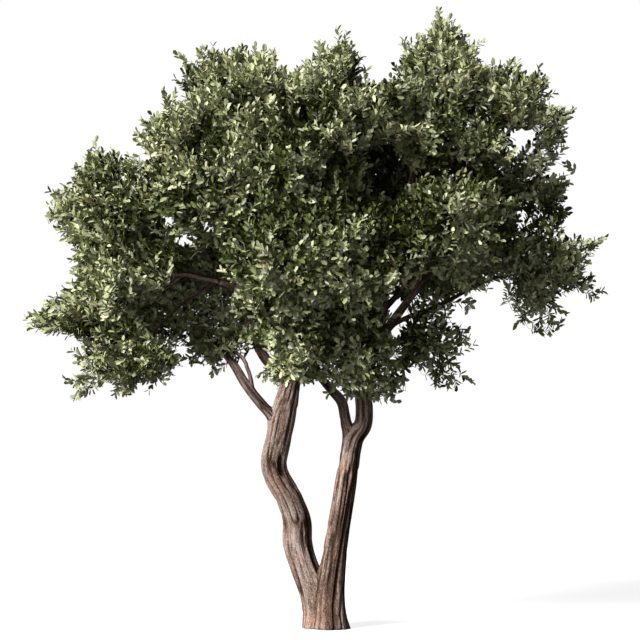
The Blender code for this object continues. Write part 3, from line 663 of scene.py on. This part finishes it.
def bark_relief(round_and_along, radius, seed):
    """Height of the bark in radii, and how deep each point lies from 0 to 1.

    round_and_along holds cos, sin and the way along in metres. Broad flutes are plain noise.
    A groove runs where a noise crosses nought: -exp(-(noise / width) ** 2), and so does a crack,
    at a finer scale. They wander, because another noise moves them sideways.
    """
    thick = np.clip(radius / THICK_LIMB, 0.25, 1.2)
    ring, along = round_and_along[..., :2], round_and_along[..., 2:] / thick[..., None] ** 0.5

    def layer(fineness, stretch, offset):
        return noise(np.concatenate([ring * fineness, along * stretch + offset], -1), seed)

    sway = SWAY * layer(*SWAY_NOISE)
    flutes = layer(*FLUTE_NOISE)
    ring = ring + 0.25 * np.stack([sway, -sway], -1)
    grooves = np.exp(-((layer(*GROOVE_NOISE) / GROOVE_WIDTH) ** 2))
    cracks = np.exp(-((layer(*CRACK_NOISE) / CRACK_WIDTH) ** 2))
    strength = 0.45 + 0.55 * np.clip(0.5 + layer(*STRENGTH_NOISE), 0, 1)
    grooves = grooves * strength
    height = FLUTES * flutes - GROOVES * grooves - CRACKS * cracks
    # The depth darkens the bark's colour: partly its own darker fissures, partly painted shade in low
    # flutes, grooves and cracks.
    return height, np.clip(0.25 - 0.5 * flutes + 0.75 * grooves + 0.3 * cracks, 0, 1)


def split_depth(name, rows, turn):
    """Depth in metres that the stem's splits cut into its bark: each has its own depth times
    exp(-(sideways squared) - (lengthways cubed)), in its widths and lengths."""
    depth = np.zeros(turn.shape)
    for split in SPLITS:
        if split.stem != name:
            continue
        off = (turn - math.radians(split.turn) + math.pi) % (2 * math.pi) - math.pi
        sideways = off * rows[:, 3:4] / split.width
        lengthways = (rows[:, 2:3] - split.height) / split.length
        depth += split.depth * np.exp(-(sideways**2) - np.abs(lengthways) ** 3)
    return depth


def gap_to(points, line):
    """Distance of points from the surface of a round tube along a line of rows."""
    gaps = np.full(len(points), np.inf)
    for row in line:
        gaps = np.minimum(gaps, np.linalg.norm(points - row[:3], axis=1) - row[3])
    return gaps


def fillet_height(name, points, radii, lines):
    """Height of the swelling where limbs meet: (reach - gap) ** 2 / (4 reach), within reach.

    It is what a smooth union adds at that distance from the other limb's surface.
    """
    height = np.zeros(len(points))
    low, high = points.min(0) - FILLET_SEARCH, points.max(0) + FILLET_SEARCH
    for other, line in lines.items():
        near = line[((line[:, :3] > low) & (line[:, :3] < high)).all(1)]
        if other == name or not len(near):
            continue
        reach = FILLET * np.minimum(near[:, 3].max(), radii)
        gap = np.abs(gap_to(points, near))
        height = np.maximum(height, np.maximum(reach - gap, 0) ** 2 / (4 * reach))
    return height


def spread_roots(points):
    """Moves points near the ground outwards, in ridges: (1 - height / FLARE_HEIGHT) squared."""
    rise = np.clip(1 - points[:, 2] / FLARE_HEIGHT, 0, 1) ** 2
    ridge = 0.7 + 0.3 * np.cos(TOES * np.arctan2(points[:, 1], points[:, 0]) + 1.0)
    out = unit(points * (1, 1, 0))
    return points + out * (FLARE_REACH * ridge * rise)[:, None]


def barked_limb(name, lines, seed):
    """Tubes round a run of wood: middle + (radius + relief) (cos turn N + sin turn B).

    N is the front, or for a limb that runs forwards another axis, made square to the run, and
    B is square to both. Near the ground the rings lie level. Where the run grows thin, a tube
    of fewer sides goes on from the last ring, so this gives (sides, tube) for each.
    """
    rows, along = resampled(lines[name], RING_STEP)
    tangent = unit(np.gradient(rows[:, :3], axis=0))
    level = np.clip(1 - rows[:, 2:3] / FLARE_HEIGHT, 0, 1) if name in STEMS else 0
    tangent = unit(tangent * (1 - level) + np.array((0, 0, 1.0)) * level)
    axes = np.array(((0, -1.0, 0), (1.0, 0, 0), (0, 0, 1.0)))
    front = axes[0] if name in STEMS else axes[np.abs(axes @ tangent.mean(0)).argmin()]
    normal = unit(front - (tangent @ front)[:, None] * tangent)
    side = np.cross(tangent, normal)

    first = 0
    for radius, sides in SIDES:
        last = int((rows[:, 3] >= radius).sum())
        if last > first + 1:
            part = slice(first, last)
            yield sides, barked_tube(name, rows[part], along[part], normal[part], side[part],
                                     sides, lines, seed)
            first = last - 1


def barked_tube(name, rows, along, normal, side, sides, lines, seed):
    """One such tube as points, faces and the values that its bark's colours read."""
    turn = np.linspace(0, 2 * math.pi, sides, endpoint=False)[None] + np.zeros((len(rows), 1))
    way = along[:, None] + 0 * turn
    radius = rows[:, 3:4]
    round_and_along = np.stack([np.cos(turn), np.sin(turn), way], -1)
    height, depth = bark_relief(round_and_along, radius + 0 * turn, seed)
    fade = np.clip(radius / THIN_LIMB, 0.3, 1)
    cut = split_depth(name, rows, turn)
    outwards = np.cos(turn)[..., None] * normal[:, None] + np.sin(turn)[..., None] * side[:, None]
    middle = rows[:, None, :3]
    plain = (middle + outwards * radius[..., None]).reshape(-1, 3)
    swelling = fillet_height(name, plain, np.repeat(rows[:, 3], sides), lines).reshape(turn.shape)
    reach = radius * (1 + height * fade) - cut + swelling
    points = (middle + outwards * reach[..., None]).reshape(-1, 3)
    if name in STEMS:
        points = spread_roots(points)
    grain = np.stack([np.cos(turn) * radius, np.sin(turn) * radius, way], -1)
    values = {"depth": np.clip(depth + cut / SPLIT_DARK, 0, 1).ravel(), "grain": grain.reshape(-1, 3)}
    return points, grid_faces(len(rows), sides), values


# --- Masses ---


class Mass:
    """A node of foliage as a star shape: how far it reaches from its middle, by direction."""

    SHARPNESS = 60
    NEARBY = 1.7  # points further out than this, in the node's reach, have the share OUTSIDE
    OUTSIDE = 9.0
    SIDE_AT = 0.5  # where the crown's middle part ends, to each side and to the back

    def __init__(self, name):
        mesh = frame["nodes"][name].data
        points = np.empty(len(mesh.vertices) * 3)
        mesh.vertices.foreach_get("co", points)
        points = points.reshape(-1, 3)
        self.name = name
        self.middle = (points.min(0) + points.max(0)) / 2
        self.rays = unit(points - self.middle)
        self.far = np.linalg.norm(points - self.middle, axis=1)
        self.tufts = TUFTS.get(name, ())

    def reach(self, directions):
        """The node's radius: the mean of its corners', weighted by how near they face."""
        weight = np.exp(self.SHARPNESS * (directions @ self.rays.T - 1))
        return weight @ self.far / weight.sum(1)

    def share(self, points):
        """How far out points are: 0 at the middle, 1 on the surface of the node or a tuft."""
        out = points - self.middle
        far = np.linalg.norm(out, axis=1)
        share = np.full(len(points), self.OUTSIDE)
        near = far < self.NEARBY * self.far.max()
        share[near] = far[near] / self.reach(unit(out[near]))
        for *middle, radius in self.tufts:
            share = np.minimum(share, np.linalg.norm(points - middle, axis=1) / radius)
        return share

    def region(self):
        x, y, _ = self.middle
        if y > self.SIDE_AT:
            return "back_left" if x < 0 else "back_right"
        return "left" if x < -self.SIDE_AT else "right" if x > self.SIDE_AT else "middle"


def fullness(shares):
    """The masses melted together: the sum of exp(MELT (1 - share)), over 1 inside the crown."""
    return np.exp(MELT * (1 - shares)).sum(0)


def in_circles(points, circles):
    """True where a point, seen from the front, lies in a circle of side, height and radius."""
    eye = np.array((VIEW_SIDE, -VIEW_DISTANCE, VIEW_HEIGHT))
    seen = eye + (points - eye) * (VIEW_DISTANCE / (points[:, 1:2] + VIEW_DISTANCE))
    hidden = np.zeros(len(points), bool)
    for x, z, radius in circles:
        hidden |= np.hypot(seen[:, 0] - x, seen[:, 2] - z) < radius
    return hidden


def strew(masses, random):
    """The crown's shoots: their places, directions and lengths, their masses' numbers, and their
    rows of LEAF_SHARES, which give their leaves painted light and painted shade.

    The places are a lattice's points, each moved at random within its cell. A shoot points out
    of its mass and of the crown, and up. Its tip lies inside the crown, and no part of it in a
    window. Deep inside, and between bunches, only some of them grow.
    """
    middles = np.array([mass.middle for mass in masses])
    cells = [np.arange(a, b, SHOOT_SPACING) for a, b in zip(*CAD_BOX)]
    places = np.stack(np.meshgrid(*cells, indexing="ij"), -1).reshape(-1, 3)
    places = places + random.uniform(0, SHOOT_SPACING, places.shape)
    places = places[np.linalg.norm(places[:, None] - middles, axis=2).min(1) < MASS_REACH]

    def full_at(points):
        shares = np.array([mass.share(points) for mass in masses])
        hollow = np.maximum(noise(points / LUMP_SIZE, LUMP_SEED), LUMP_RISE)
        return shares, fullness(shares) > np.exp(LUMPS * hollow)

    shares, inside = full_at(places)
    owner = shares.argmin(0)[inside]
    places = places[inside]
    ways = unit(places - middles[owner])
    aim = unit(OUT_OF_MASS * ways + OUT_OF_CROWN * unit(places - CROWN_MIDDLE)
               + np.array((0, 0, UPWARDS)) + AT_RANDOM * random.normal(size=places.shape))
    reach = random.uniform(*SHOOT_LENGTH, len(places))
    bunch = noise(places / BUNCH_SIZE, BUNCH_SEED)
    tip = (SHOOT_SINK * reach + BUNCH_RISE * np.clip(-bunch, 0, 1)
           + random.uniform(0, EDGE, len(places)))
    _, grows = full_at(places + aim * tip[:, None])
    _, deep = full_at(places + ways * SHELL)
    share = np.where(deep, INNER_SHARE, 1) * np.clip(1.25 + 1.1 * bunch, BETWEEN_BUNCHES, 1)
    grows &= random.random(len(places)) < share
    thin = np.array([THIN.get(mass.name, 1) for mass in masses])
    grows &= random.random(len(places)) < thin[owner]
    # Painted light and shade: each place gets a row of LEAF_SHARES by whether the crown lies between it
    # and the key light, lies deep in the crown, rims a hollow, belongs to a shade-painted mass, or falls
    # in a light or dark patch.
    _, shaded = full_at(places + LIT_SIDE * SHADE_REACH)
    dark = np.array([mass.name in SHADE_PAINTED_MASSES for mass in masses])
    shade = np.where(deep, INSIDE, np.where(shaded | dark[owner], SHADY, OPEN))
    for x, y, z, radius in HOLLOWS:
        gap = np.linalg.norm(places - (x, y, z), axis=1) - radius
        grows &= gap > 0
        shade[gap < HOLLOW_RIM] = INSIDE
    front = places[:, 1] < PATCH_DEPTH
    shade[front & in_circles(places, PAINTED_LIGHT_PATCHES)] = LIGHT
    shade[front & in_circles(places, PAINTED_SHADE_PATCHES)] = DARK
    for part in SHOOT_RINGS:
        grows &= ~in_circles(places + aim * (part * reach)[:, None], WINDOWS)
    shoots = [values[grows] for values in (places, aim, reach, owner, shade)]
    return [np.concatenate(pair) for pair in zip(shoots, sprays(masses, random))]


def sprays(masses, random):
    """The shoots of the crown's sprays, as strew gives them: they stand at even steps along
    the last stretch of the way from the mass's middle to the spray's tip, and all but the last
    lean outwards."""
    names = [mass.name for mass in masses]
    owner = np.array([names.index(name) for name, tips in SPRAYS.items() for _ in tips])
    tips = np.array([tip for tips in SPRAYS.values() for tip in tips])
    way = unit(tips - np.array([mass.middle for mass in masses])[owner])
    back = np.arange(SPRAY_TIP, SPRAY_LENGTH, SPRAY_STEP)
    places = tips[:, None] - way[:, None] * back[:, None]
    places = places + random.normal(0, SPRAY_SWAY, places.shape)
    behind = (back > SPRAY_TIP)[:, None]
    aim = unit(way[:, None] + SPRAY_SPREAD * behind * unit(random.normal(size=places.shape)))
    reach = np.full((len(tips), len(back)), SHOOT_LENGTH[0])
    owner = np.repeat(owner, len(back))
    # Painted shade for the sprays of the shade-painted masses, painted light for the others.
    shade = np.where(np.isin(names, SHADE_PAINTED_MASSES), SHADY, OPEN)[owner]
    return places.reshape(-1, 3), aim.reshape(-1, 3), reach.ravel(), owner, shade


def join_up(places, roots):
    """The node that each place grows from, as a tree out of the roots, and the places' order.

    Of all places not yet joined, the one whose distance to a node, plus WANDER times that
    node's own way home, is least joins next.
    """
    nodes = np.vstack([roots, places])
    home = np.zeros(len(nodes))
    cost = np.full(len(places), np.inf)
    parent = np.zeros(len(places), int)
    waiting = np.ones(len(places), bool)
    latest, order = range(len(roots)), []
    while waiting.any():
        for node in latest:
            far = np.linalg.norm(places - nodes[node], axis=1) + WANDER * home[node]
            closer = waiting & (far < cost)
            cost[closer], parent[closer] = far[closer], node
        chosen = int(np.where(waiting, cost, np.inf).argmin())
        waiting[chosen] = False
        order.append(chosen)
        node = len(roots) + chosen
        home[node] = home[parent[chosen]] + np.linalg.norm(nodes[node] - nodes[parent[chosen]])
        latest = (node,)
    return parent, order


def twig_radii(parent, order, roots):
    """Radius of the twig to each place: the tips beyond it to the power 1 / PIPE_POWER."""
    tips = np.ones(len(parent))
    for number in reversed(order):
        if parent[number] >= roots:
            tips[parent[number] - roots] += tips[number]
    return TWIG_TIP * tips ** (1 / PIPE_POWER)


def grow(mass, places, limb_lines):
    """The twigs of a mass, grown from its limb, as (start, bend, end, radius, if it lives). The
    bend turns a twig into a curve that leaves its carrier smoothly. A twig dies where it would
    have to cross a wide gap, with all that it carries."""
    roots, leads = [], []
    for limb in LIMBS:
        if limb.ends_in == mass.name:
            rows, _ = resampled(limb_lines[limb.name], ((0, 1), (ROOT_STEP, ROOT_STEP)))
            inside = mass.share(rows[:, :3]) < ROOT_SHARE
            roots.append(rows[inside, :3])
            leads.append(unit(np.gradient(rows[:, :3], axis=0))[inside])
    roots, leads = np.vstack(roots), np.vstack(leads)
    parent, order = join_up(places, roots)
    radius = twig_radii(parent, order, len(roots))
    nodes = np.vstack([roots, places])
    starts = nodes[parent]
    edge = unit(places - starts)
    lead = np.vstack([leads, edge])[parent]
    length = np.linalg.norm(places - starts, axis=1, keepdims=True)
    sideways = lead - (lead * edge).sum(1, keepdims=True) * edge
    bends = (starts + places) / 2 + sideways * length / BOW
    lives = np.concatenate([np.ones(len(roots), bool), length[:, 0] < LONGEST_TWIG])
    for number in order:
        lives[len(roots) + number] &= lives[parent[number]]
    return starts, bends, places, radius, lives[len(roots):]


# --- Twigs and leaves ---


def rods(spine, radii, sides):
    """Thin closed tubes, without values: spine is (rods, rings, 3) and radii (rods, rings)."""
    count, rings, _ = spine.shape
    side, other = across(unit(np.gradient(spine, axis=1)))
    turn = np.arange(sides) * 2 * math.pi / sides
    circle = (np.cos(turn)[:, None] * side[:, :, None] + np.sin(turn)[:, None] * other[:, :, None])
    points = spine[:, :, None] + circle * radii[:, :, None, None]
    first = (np.arange(count) * rings * sides)[:, None, None]
    faces = [(block + first).reshape(-1, block.shape[1]) for block in grid_faces(rings, sides)]
    return points.reshape(-1, 3), faces, {}


def shoot_curve(places, aim, reach, shares, bend):
    """Points of each shoot: place + reach (t aim + t squared bend / 2), t from 0 to 1."""
    t = shares[None, :, None]
    length = reach[:, None, None]
    return places[:, None] + length * (t * aim[:, None] + t**2 / 2 * bend[:, None])


def leaf_shape():
    """One leaf's corners as (along, across, up) and its droop, in leaf lengths and widths.

    The outline is an oval broadest past its middle. Up is LEAF_FOLD times twice the distance
    from the midrib, and the droop is LEAF_DROOP times the way along squared.
    """
    along, side = np.array(LEAF_OUTLINE).T
    return along, side, LEAF_FOLD * np.abs(side) * 2, -LEAF_DROOP * along**2


def pick_colours(shade, random):
    """A colour number for each place, by the shares of its row of painted light and shade."""
    drawn = [random.choice(len(LEAF_COLOURS), shade.shape, p=shares) for shares in LEAF_SHARES]
    return np.choose(shade, drawn)


def leaves(places, aim, reach, bend, shade, random):
    """Paired leaves on shoots. Returns points, faces and each face's colour number.

    Each pair is turned round the shoot from the one before. A leaf leans away from the shoot by
    an angle that falls towards the tip. Its upper face looks towards the shoot's tip, rolled at
    random and turned some way up and out of the crown.
    """
    shoots = len(places)
    share = np.repeat(np.linspace(FIRST_PAIR, 1, PAIRS), 2)
    count = len(share)
    base = shoot_curve(places, aim, reach, share, bend)
    axis = unit(aim[:, None] + share[None, :, None] * bend[:, None])
    side, other = across(axis)
    turn = random.uniform(0, 2 * math.pi, (shoots, 1))
    turn = turn + np.repeat(np.arange(PAIRS), 2) * random.uniform(*PAIR_TURN, (shoots, 1))
    turn_waver, lean_waver, roll_waver = LEAF_WAVER
    turn = turn + np.tile((0, math.pi), PAIRS) + random.normal(0, turn_waver, (shoots, count))
    out = np.cos(turn)[..., None] * side + np.sin(turn)[..., None] * other
    widest, fewer = LEAF_LEAN
    lean = np.radians(widest - fewer * share) + random.normal(0, lean_waver, (shoots, count))
    lean = lean[..., None]
    along = np.cos(lean) * axis + np.sin(lean) * out
    face = np.sin(lean) * axis - np.cos(lean) * out
    roll = random.normal(0, roll_waver, (shoots, count, 1))
    light = unit(unit(base - CROWN_MIDDLE) + (0, 0, FACE_UP))
    face = face + np.sin(roll) * np.cross(face, along) + FACE_LIGHT * light
    across_leaf = unit(np.cross(face, along))
    face = np.cross(along, across_leaf)

    size = random.uniform(*LEAF_SIZES, (shoots, count)) * (1 - END_LEAVES * np.abs(share - 0.5))
    length = (LEAF_LENGTH * size)[..., None, None]
    width = (LEAF_WIDTH * size * random.uniform(*LEAF_WIDTHS, size.shape))[..., None, None]
    u, v, up, droop = (part[:, None] for part in leaf_shape())
    points = (base[:, :, None] + along[:, :, None] * u * length
              + across_leaf[:, :, None] * v * width
              + face[:, :, None] * (up * width + droop * length))

    kept = random.random((shoots, count)) > MISSING
    points = points[kept].reshape(-1, 3)
    corners = len(LEAF_OUTLINE)
    fan = np.array([(0, corner + 1, corner) for corner in range(1, corners - 1)])
    faces = (fan + corners * np.arange(kept.sum())[:, None, None]).reshape(-1, 3)
    stray = random.random((shoots, count)) < STRAY_LEAVES
    colour = np.where(stray, pick_colours(np.repeat(shade[:, None], count, axis=1), random),
                      pick_colours(shade, random)[:, None])
    return points, faces, np.repeat(colour[kept], len(fan))


# --- Materials ---


class Value:
    """A socket that numbers can be reckoned with: an expression adds its Math nodes."""

    def __init__(self, graph, socket):
        self.graph, self.socket = graph, socket

    def math(self, operation, *inputs):
        made = self.graph.node("ShaderNodeMath", {"operation": operation}, dict(enumerate(inputs)))
        return Value(self.graph, made.outputs[0])

    def __add__(self, other):
        return self.math("ADD", self, other)

    def __sub__(self, other):
        return self.math("SUBTRACT", self, other)

    def __rsub__(self, other):
        return self.math("SUBTRACT", other, self)

    def __mul__(self, other):
        return self.math("MULTIPLY", self, other)

    __radd__ = __add__
    __rmul__ = __mul__

    def clamped(self):
        made = self.graph.node("ShaderNodeClamp", {}, {"Value": self})
        return Value(self.graph, made.outputs[0])


class Graph:
    """A material's nodes, with the shader that it starts with."""

    def __init__(self, name):
        self.material = bpy.data.materials.new(name)
        self.material.use_nodes = True
        self.tree = self.material.node_tree
        self.shader = self.tree.nodes["Principled BSDF"]

    def node(self, kind, settings=None, inputs=None):
        """A node of a type: its settings first, then the values or links of its sockets."""
        made = self.tree.nodes.new(kind)
        for name, setting in (settings or {}).items():
            if name == "stops":
                self.set_stops(made.color_ramp, setting)
            else:
                setattr(made, name, setting)
        self.feed(made, inputs or {})
        return made

    def feed(self, made, inputs):
        for name, value in inputs.items():
            if isinstance(value, Value):
                self.tree.links.new(value.socket, made.inputs[name])
            else:
                made.inputs[name].default_value = value

    @staticmethod
    def set_stops(ramp, stops):
        while len(ramp.elements) < len(stops):
            ramp.elements.new(0.5)
        for element, (place, colour) in zip(ramp.elements, stops):
            element.position = place
            element.color = (*colour, 1)

    def value(self, kind, settings=None, inputs=None, output=0):
        return Value(self, self.node(kind, settings, inputs).outputs[output])

    def mixed(self, factor, first, second, way="MIX"):
        """Two colours through a Mix node."""
        made = self.node("ShaderNodeMix", {"data_type": "RGBA", "blend_type": way}, {0: factor})
        self.feed(made, {6: first, 7: second})
        return Value(self, made.outputs[2])


def plain_material(name, colour, roughness, others=None):
    """A material of one colour, with the values of any other sockets of the shader."""
    graph = Graph(name)
    graph.feed(graph.shader, {"Base Color": (*colour, 1), "Roughness": roughness,
                              **(others or {})})
    return graph.material


def bark_material(name, ridge, middle, brown, fissure, fineness):
    """Bark that darkens with the mesh's own depth, with fibres along the grain. The darkening is partly
    the bark's own darker fissures, partly painted shade in grooves and splits.

    fineness is how many streaks there are to a metre across the grain.
    """
    graph = Graph(name)
    depth = graph.value("ShaderNodeAttribute", {"attribute_name": "depth"}, output="Fac")
    grain = graph.value("ShaderNodeAttribute", {"attribute_name": "grain"}, output="Vector")

    def stretched(across_scale, along_scale, detail):
        scaled = graph.value("ShaderNodeVectorMath", {"operation": "MULTIPLY"},
                             {0: grain, 1: (across_scale, across_scale, along_scale)})
        return graph.value("ShaderNodeTexNoise", {},
                           {"Vector": scaled, "Scale": 1.0, "Detail": detail, "Roughness": 0.6})

    fibres = stretched(fineness * 2.6, fineness * 0.4, 4.0)
    streaks = stretched(fineness * 0.8, fineness * 0.09, 3.0)
    flecks = stretched(fineness * 1.3, fineness * 0.9, 4.0)
    patches = stretched(16.0, 5.0, 3.0)
    level = (depth + (streaks - 0.5) * 1.3 + (fibres - 0.5) * 0.8 + (flecks - 0.5) * 1.6
             + 0.05).clamped()
    tone = graph.value("ShaderNodeValToRGB",
                       {"stops": ((0.0, ridge), (0.4, middle), (0.66, brown), (1.0, fissure))},
                       {"Fac": level})
    warm = graph.mixed(((patches - 0.48) * 4.0).clamped(), tone, (0.62, 0.36, 0.2, 1), "OVERLAY")
    tone = graph.mixed(0.45, tone, warm)
    relief = (streaks + fibres * 0.5 + flecks * 0.3) * -1.0
    bump = graph.value("ShaderNodeBump", {},
                       {"Strength": 0.7, "Distance": 0.006, "Height": relief})
    graph.feed(graph.shader, {"Base Color": tone, "Roughness": 0.84, "Normal": bump,
                              "Specular IOR Level": 0.25})
    return graph.material


# --- The pieces ---


def nodes_in_slot(slot):
    return [part["node"] for part in frame["record"]["subparts"] if part["material_slot"] == slot]


def make_wood(lines):
    """The stems' tubes, which have the most sides, and the boughs', in a piece of each."""
    tubes = [made for number, name in enumerate(lines)
             for made in barked_limb(name, lines, BARK_SEED + number)]
    stems = stacked([tube for sides, tube in tubes if sides == SIDES[0][1]])
    boughs = stacked([tube for sides, tube in tubes if sides != SIDES[0][1]])
    for name, (points, faces, values), material, slot in (
        ("stems", stems, bark_material("stem_bark", *STEM_BARK), "bark"),
        ("boughs", boughs, bark_material("bough_bark", *BOUGH_BARK), "bough_bark"),
    ):
        build(name, points, faces, [material], slot, nodes_in_slot(slot), values=values)


def make_foliage(masses, limb_lines):
    """Twigs and leaves, in a piece of each for every side of the crown."""
    random = np.random.default_rng(SEED)
    leaf_materials = [plain_material(name, colour, 0.44, {"Specular IOR Level": 0.25})
                      for name, colour in LEAF_COLOURS.items()]
    twig_materials = [plain_material("shoot_rind", SHOOT_COLOUR, 0.6),
                      plain_material("twig_bark", TWIG_COLOUR, 0.8)]
    *shoots, owner, shades = strew(masses, random)
    for region in sorted({mass.region() for mass in masses}):
        here = [number for number, mass in enumerate(masses) if mass.region() == region]
        grown = [grow(masses[number], shoots[0][owner == number], limb_lines) for number in here]
        *twigs, lives = (np.concatenate(values) for values in zip(*grown))
        starts, bends, ends, radii = (values[lives] for values in twigs)
        order = np.concatenate([np.flatnonzero(owner == number) for number in here])[lives]
        places, aim, reach, shade = (values[order] for values in (*shoots, shades))
        lift = np.array((0, 0, 1.0)) - aim[:, 2:3] * aim
        bend = SHOOT_LIFT * lift + SHOOT_WAVER * random.normal(size=aim.shape)

        thin = np.full((len(places), 1), TWIG_TIP) * SHOOT_TAPER
        made = [rods(shoot_curve(places, aim, reach, SHOOT_RINGS, bend), thin, SHOOT_SIDES)]
        first, thinner = TWIG_TAPER
        for least, most, shares, sides in TWIG_SIZES:
            some = (radii >= least) & (radii < most)
            t = np.array(shares)[None, :, None]
            spine = ((1 - t) ** 2 * starts[some, None] + 2 * t * (1 - t) * bends[some, None]
                     + t**2 * ends[some, None])
            made.append(rods(spine, radii[some, None] * (first - thinner * t[..., 0]), sides))
        points, faces, _ = stacked(made)
        kinds = [np.full(len(block), min(number, 1))
                 for number, (_, blocks, _) in enumerate(made) for block in blocks]
        names = [masses[number].name for number in here]
        build(f"twigs_{region}", points, faces, twig_materials, "leaves", names, kinds)
        points, faces, colours = leaves(places, aim, reach, bend, shade, random)
        build(f"leaves_{region}", points, [faces], leaf_materials, "leaves", names, [colours])


def make_stage():
    """A pale floor, a key light from the left, a weak one from the front, a soft fill behind
    a white backdrop, and the camera."""
    bpy.ops.mesh.primitive_circle_add(vertices=128, radius=FLOOR_RADIUS, fill_type="NGON")
    floor = bpy.context.object
    floor.name = "floor"
    glow = {"Emission Color": (1, 1, 1, 1), "Emission Strength": 0.84}
    floor.data.materials.append(plain_material("pale_floor", (0.45, 0.45, 0.45), 0.9, glow))
    floor.visible_diffuse = False
    floor.visible_glossy = False

    for name, energy, softness, tilt, turn in LIGHTS:
        light = bpy.data.objects.new(name, bpy.data.lights.new(name, "SUN"))
        light.data.energy = energy
        light.data.angle = math.radians(softness)
        light.rotation_euler = (math.radians(tilt), 0, math.radians(turn))
        bpy.context.scene.collection.objects.link(light)

    world = bpy.context.scene.world or bpy.data.worlds.new("studio")
    bpy.context.scene.world = world
    world.use_nodes = True
    nodes, links = world.node_tree.nodes, world.node_tree.links
    nodes.clear()
    fill = nodes.new("ShaderNodeBackground")
    fill.inputs["Color"].default_value = (1.0, 0.99, 0.96, 1)
    fill.inputs["Strength"].default_value = FILL
    backdrop = nodes.new("ShaderNodeBackground")
    backdrop.inputs["Color"].default_value = (1, 1, 1, 1)
    mix = nodes.new("ShaderNodeMixShader")
    links.new(nodes.new("ShaderNodeLightPath").outputs["Is Camera Ray"], mix.inputs["Fac"])
    links.new(fill.outputs[0], mix.inputs[1])
    links.new(backdrop.outputs[0], mix.inputs[2])
    links.new(mix.outputs[0], nodes.new("ShaderNodeOutputWorld").inputs["Surface"])

    lens = bpy.data.cameras.new("camera")
    lens.sensor_width = 36.0
    lens.lens = lens.sensor_width * VIEW_DISTANCE / FRAME_WIDTH
    lens.clip_end = 100.0
    camera = bpy.data.objects.new("camera", lens)
    camera.location = (VIEW_SIDE, -VIEW_DISTANCE, VIEW_HEIGHT)
    camera.rotation_euler = (math.radians(90), 0, 0)
    bpy.context.scene.collection.objects.link(camera)
    bpy.context.scene.camera = camera
    bpy.context.scene.view_settings.view_transform = "Standard"


def main():
    masses = [Mass(name) for name in nodes_in_slot("leaves")]
    lines, limb_lines = wood_lines({mass.name: tuple(mass.middle) for mass in masses})
    make_wood(lines)
    make_foliage(masses, limb_lines)
    make_stage()


main()
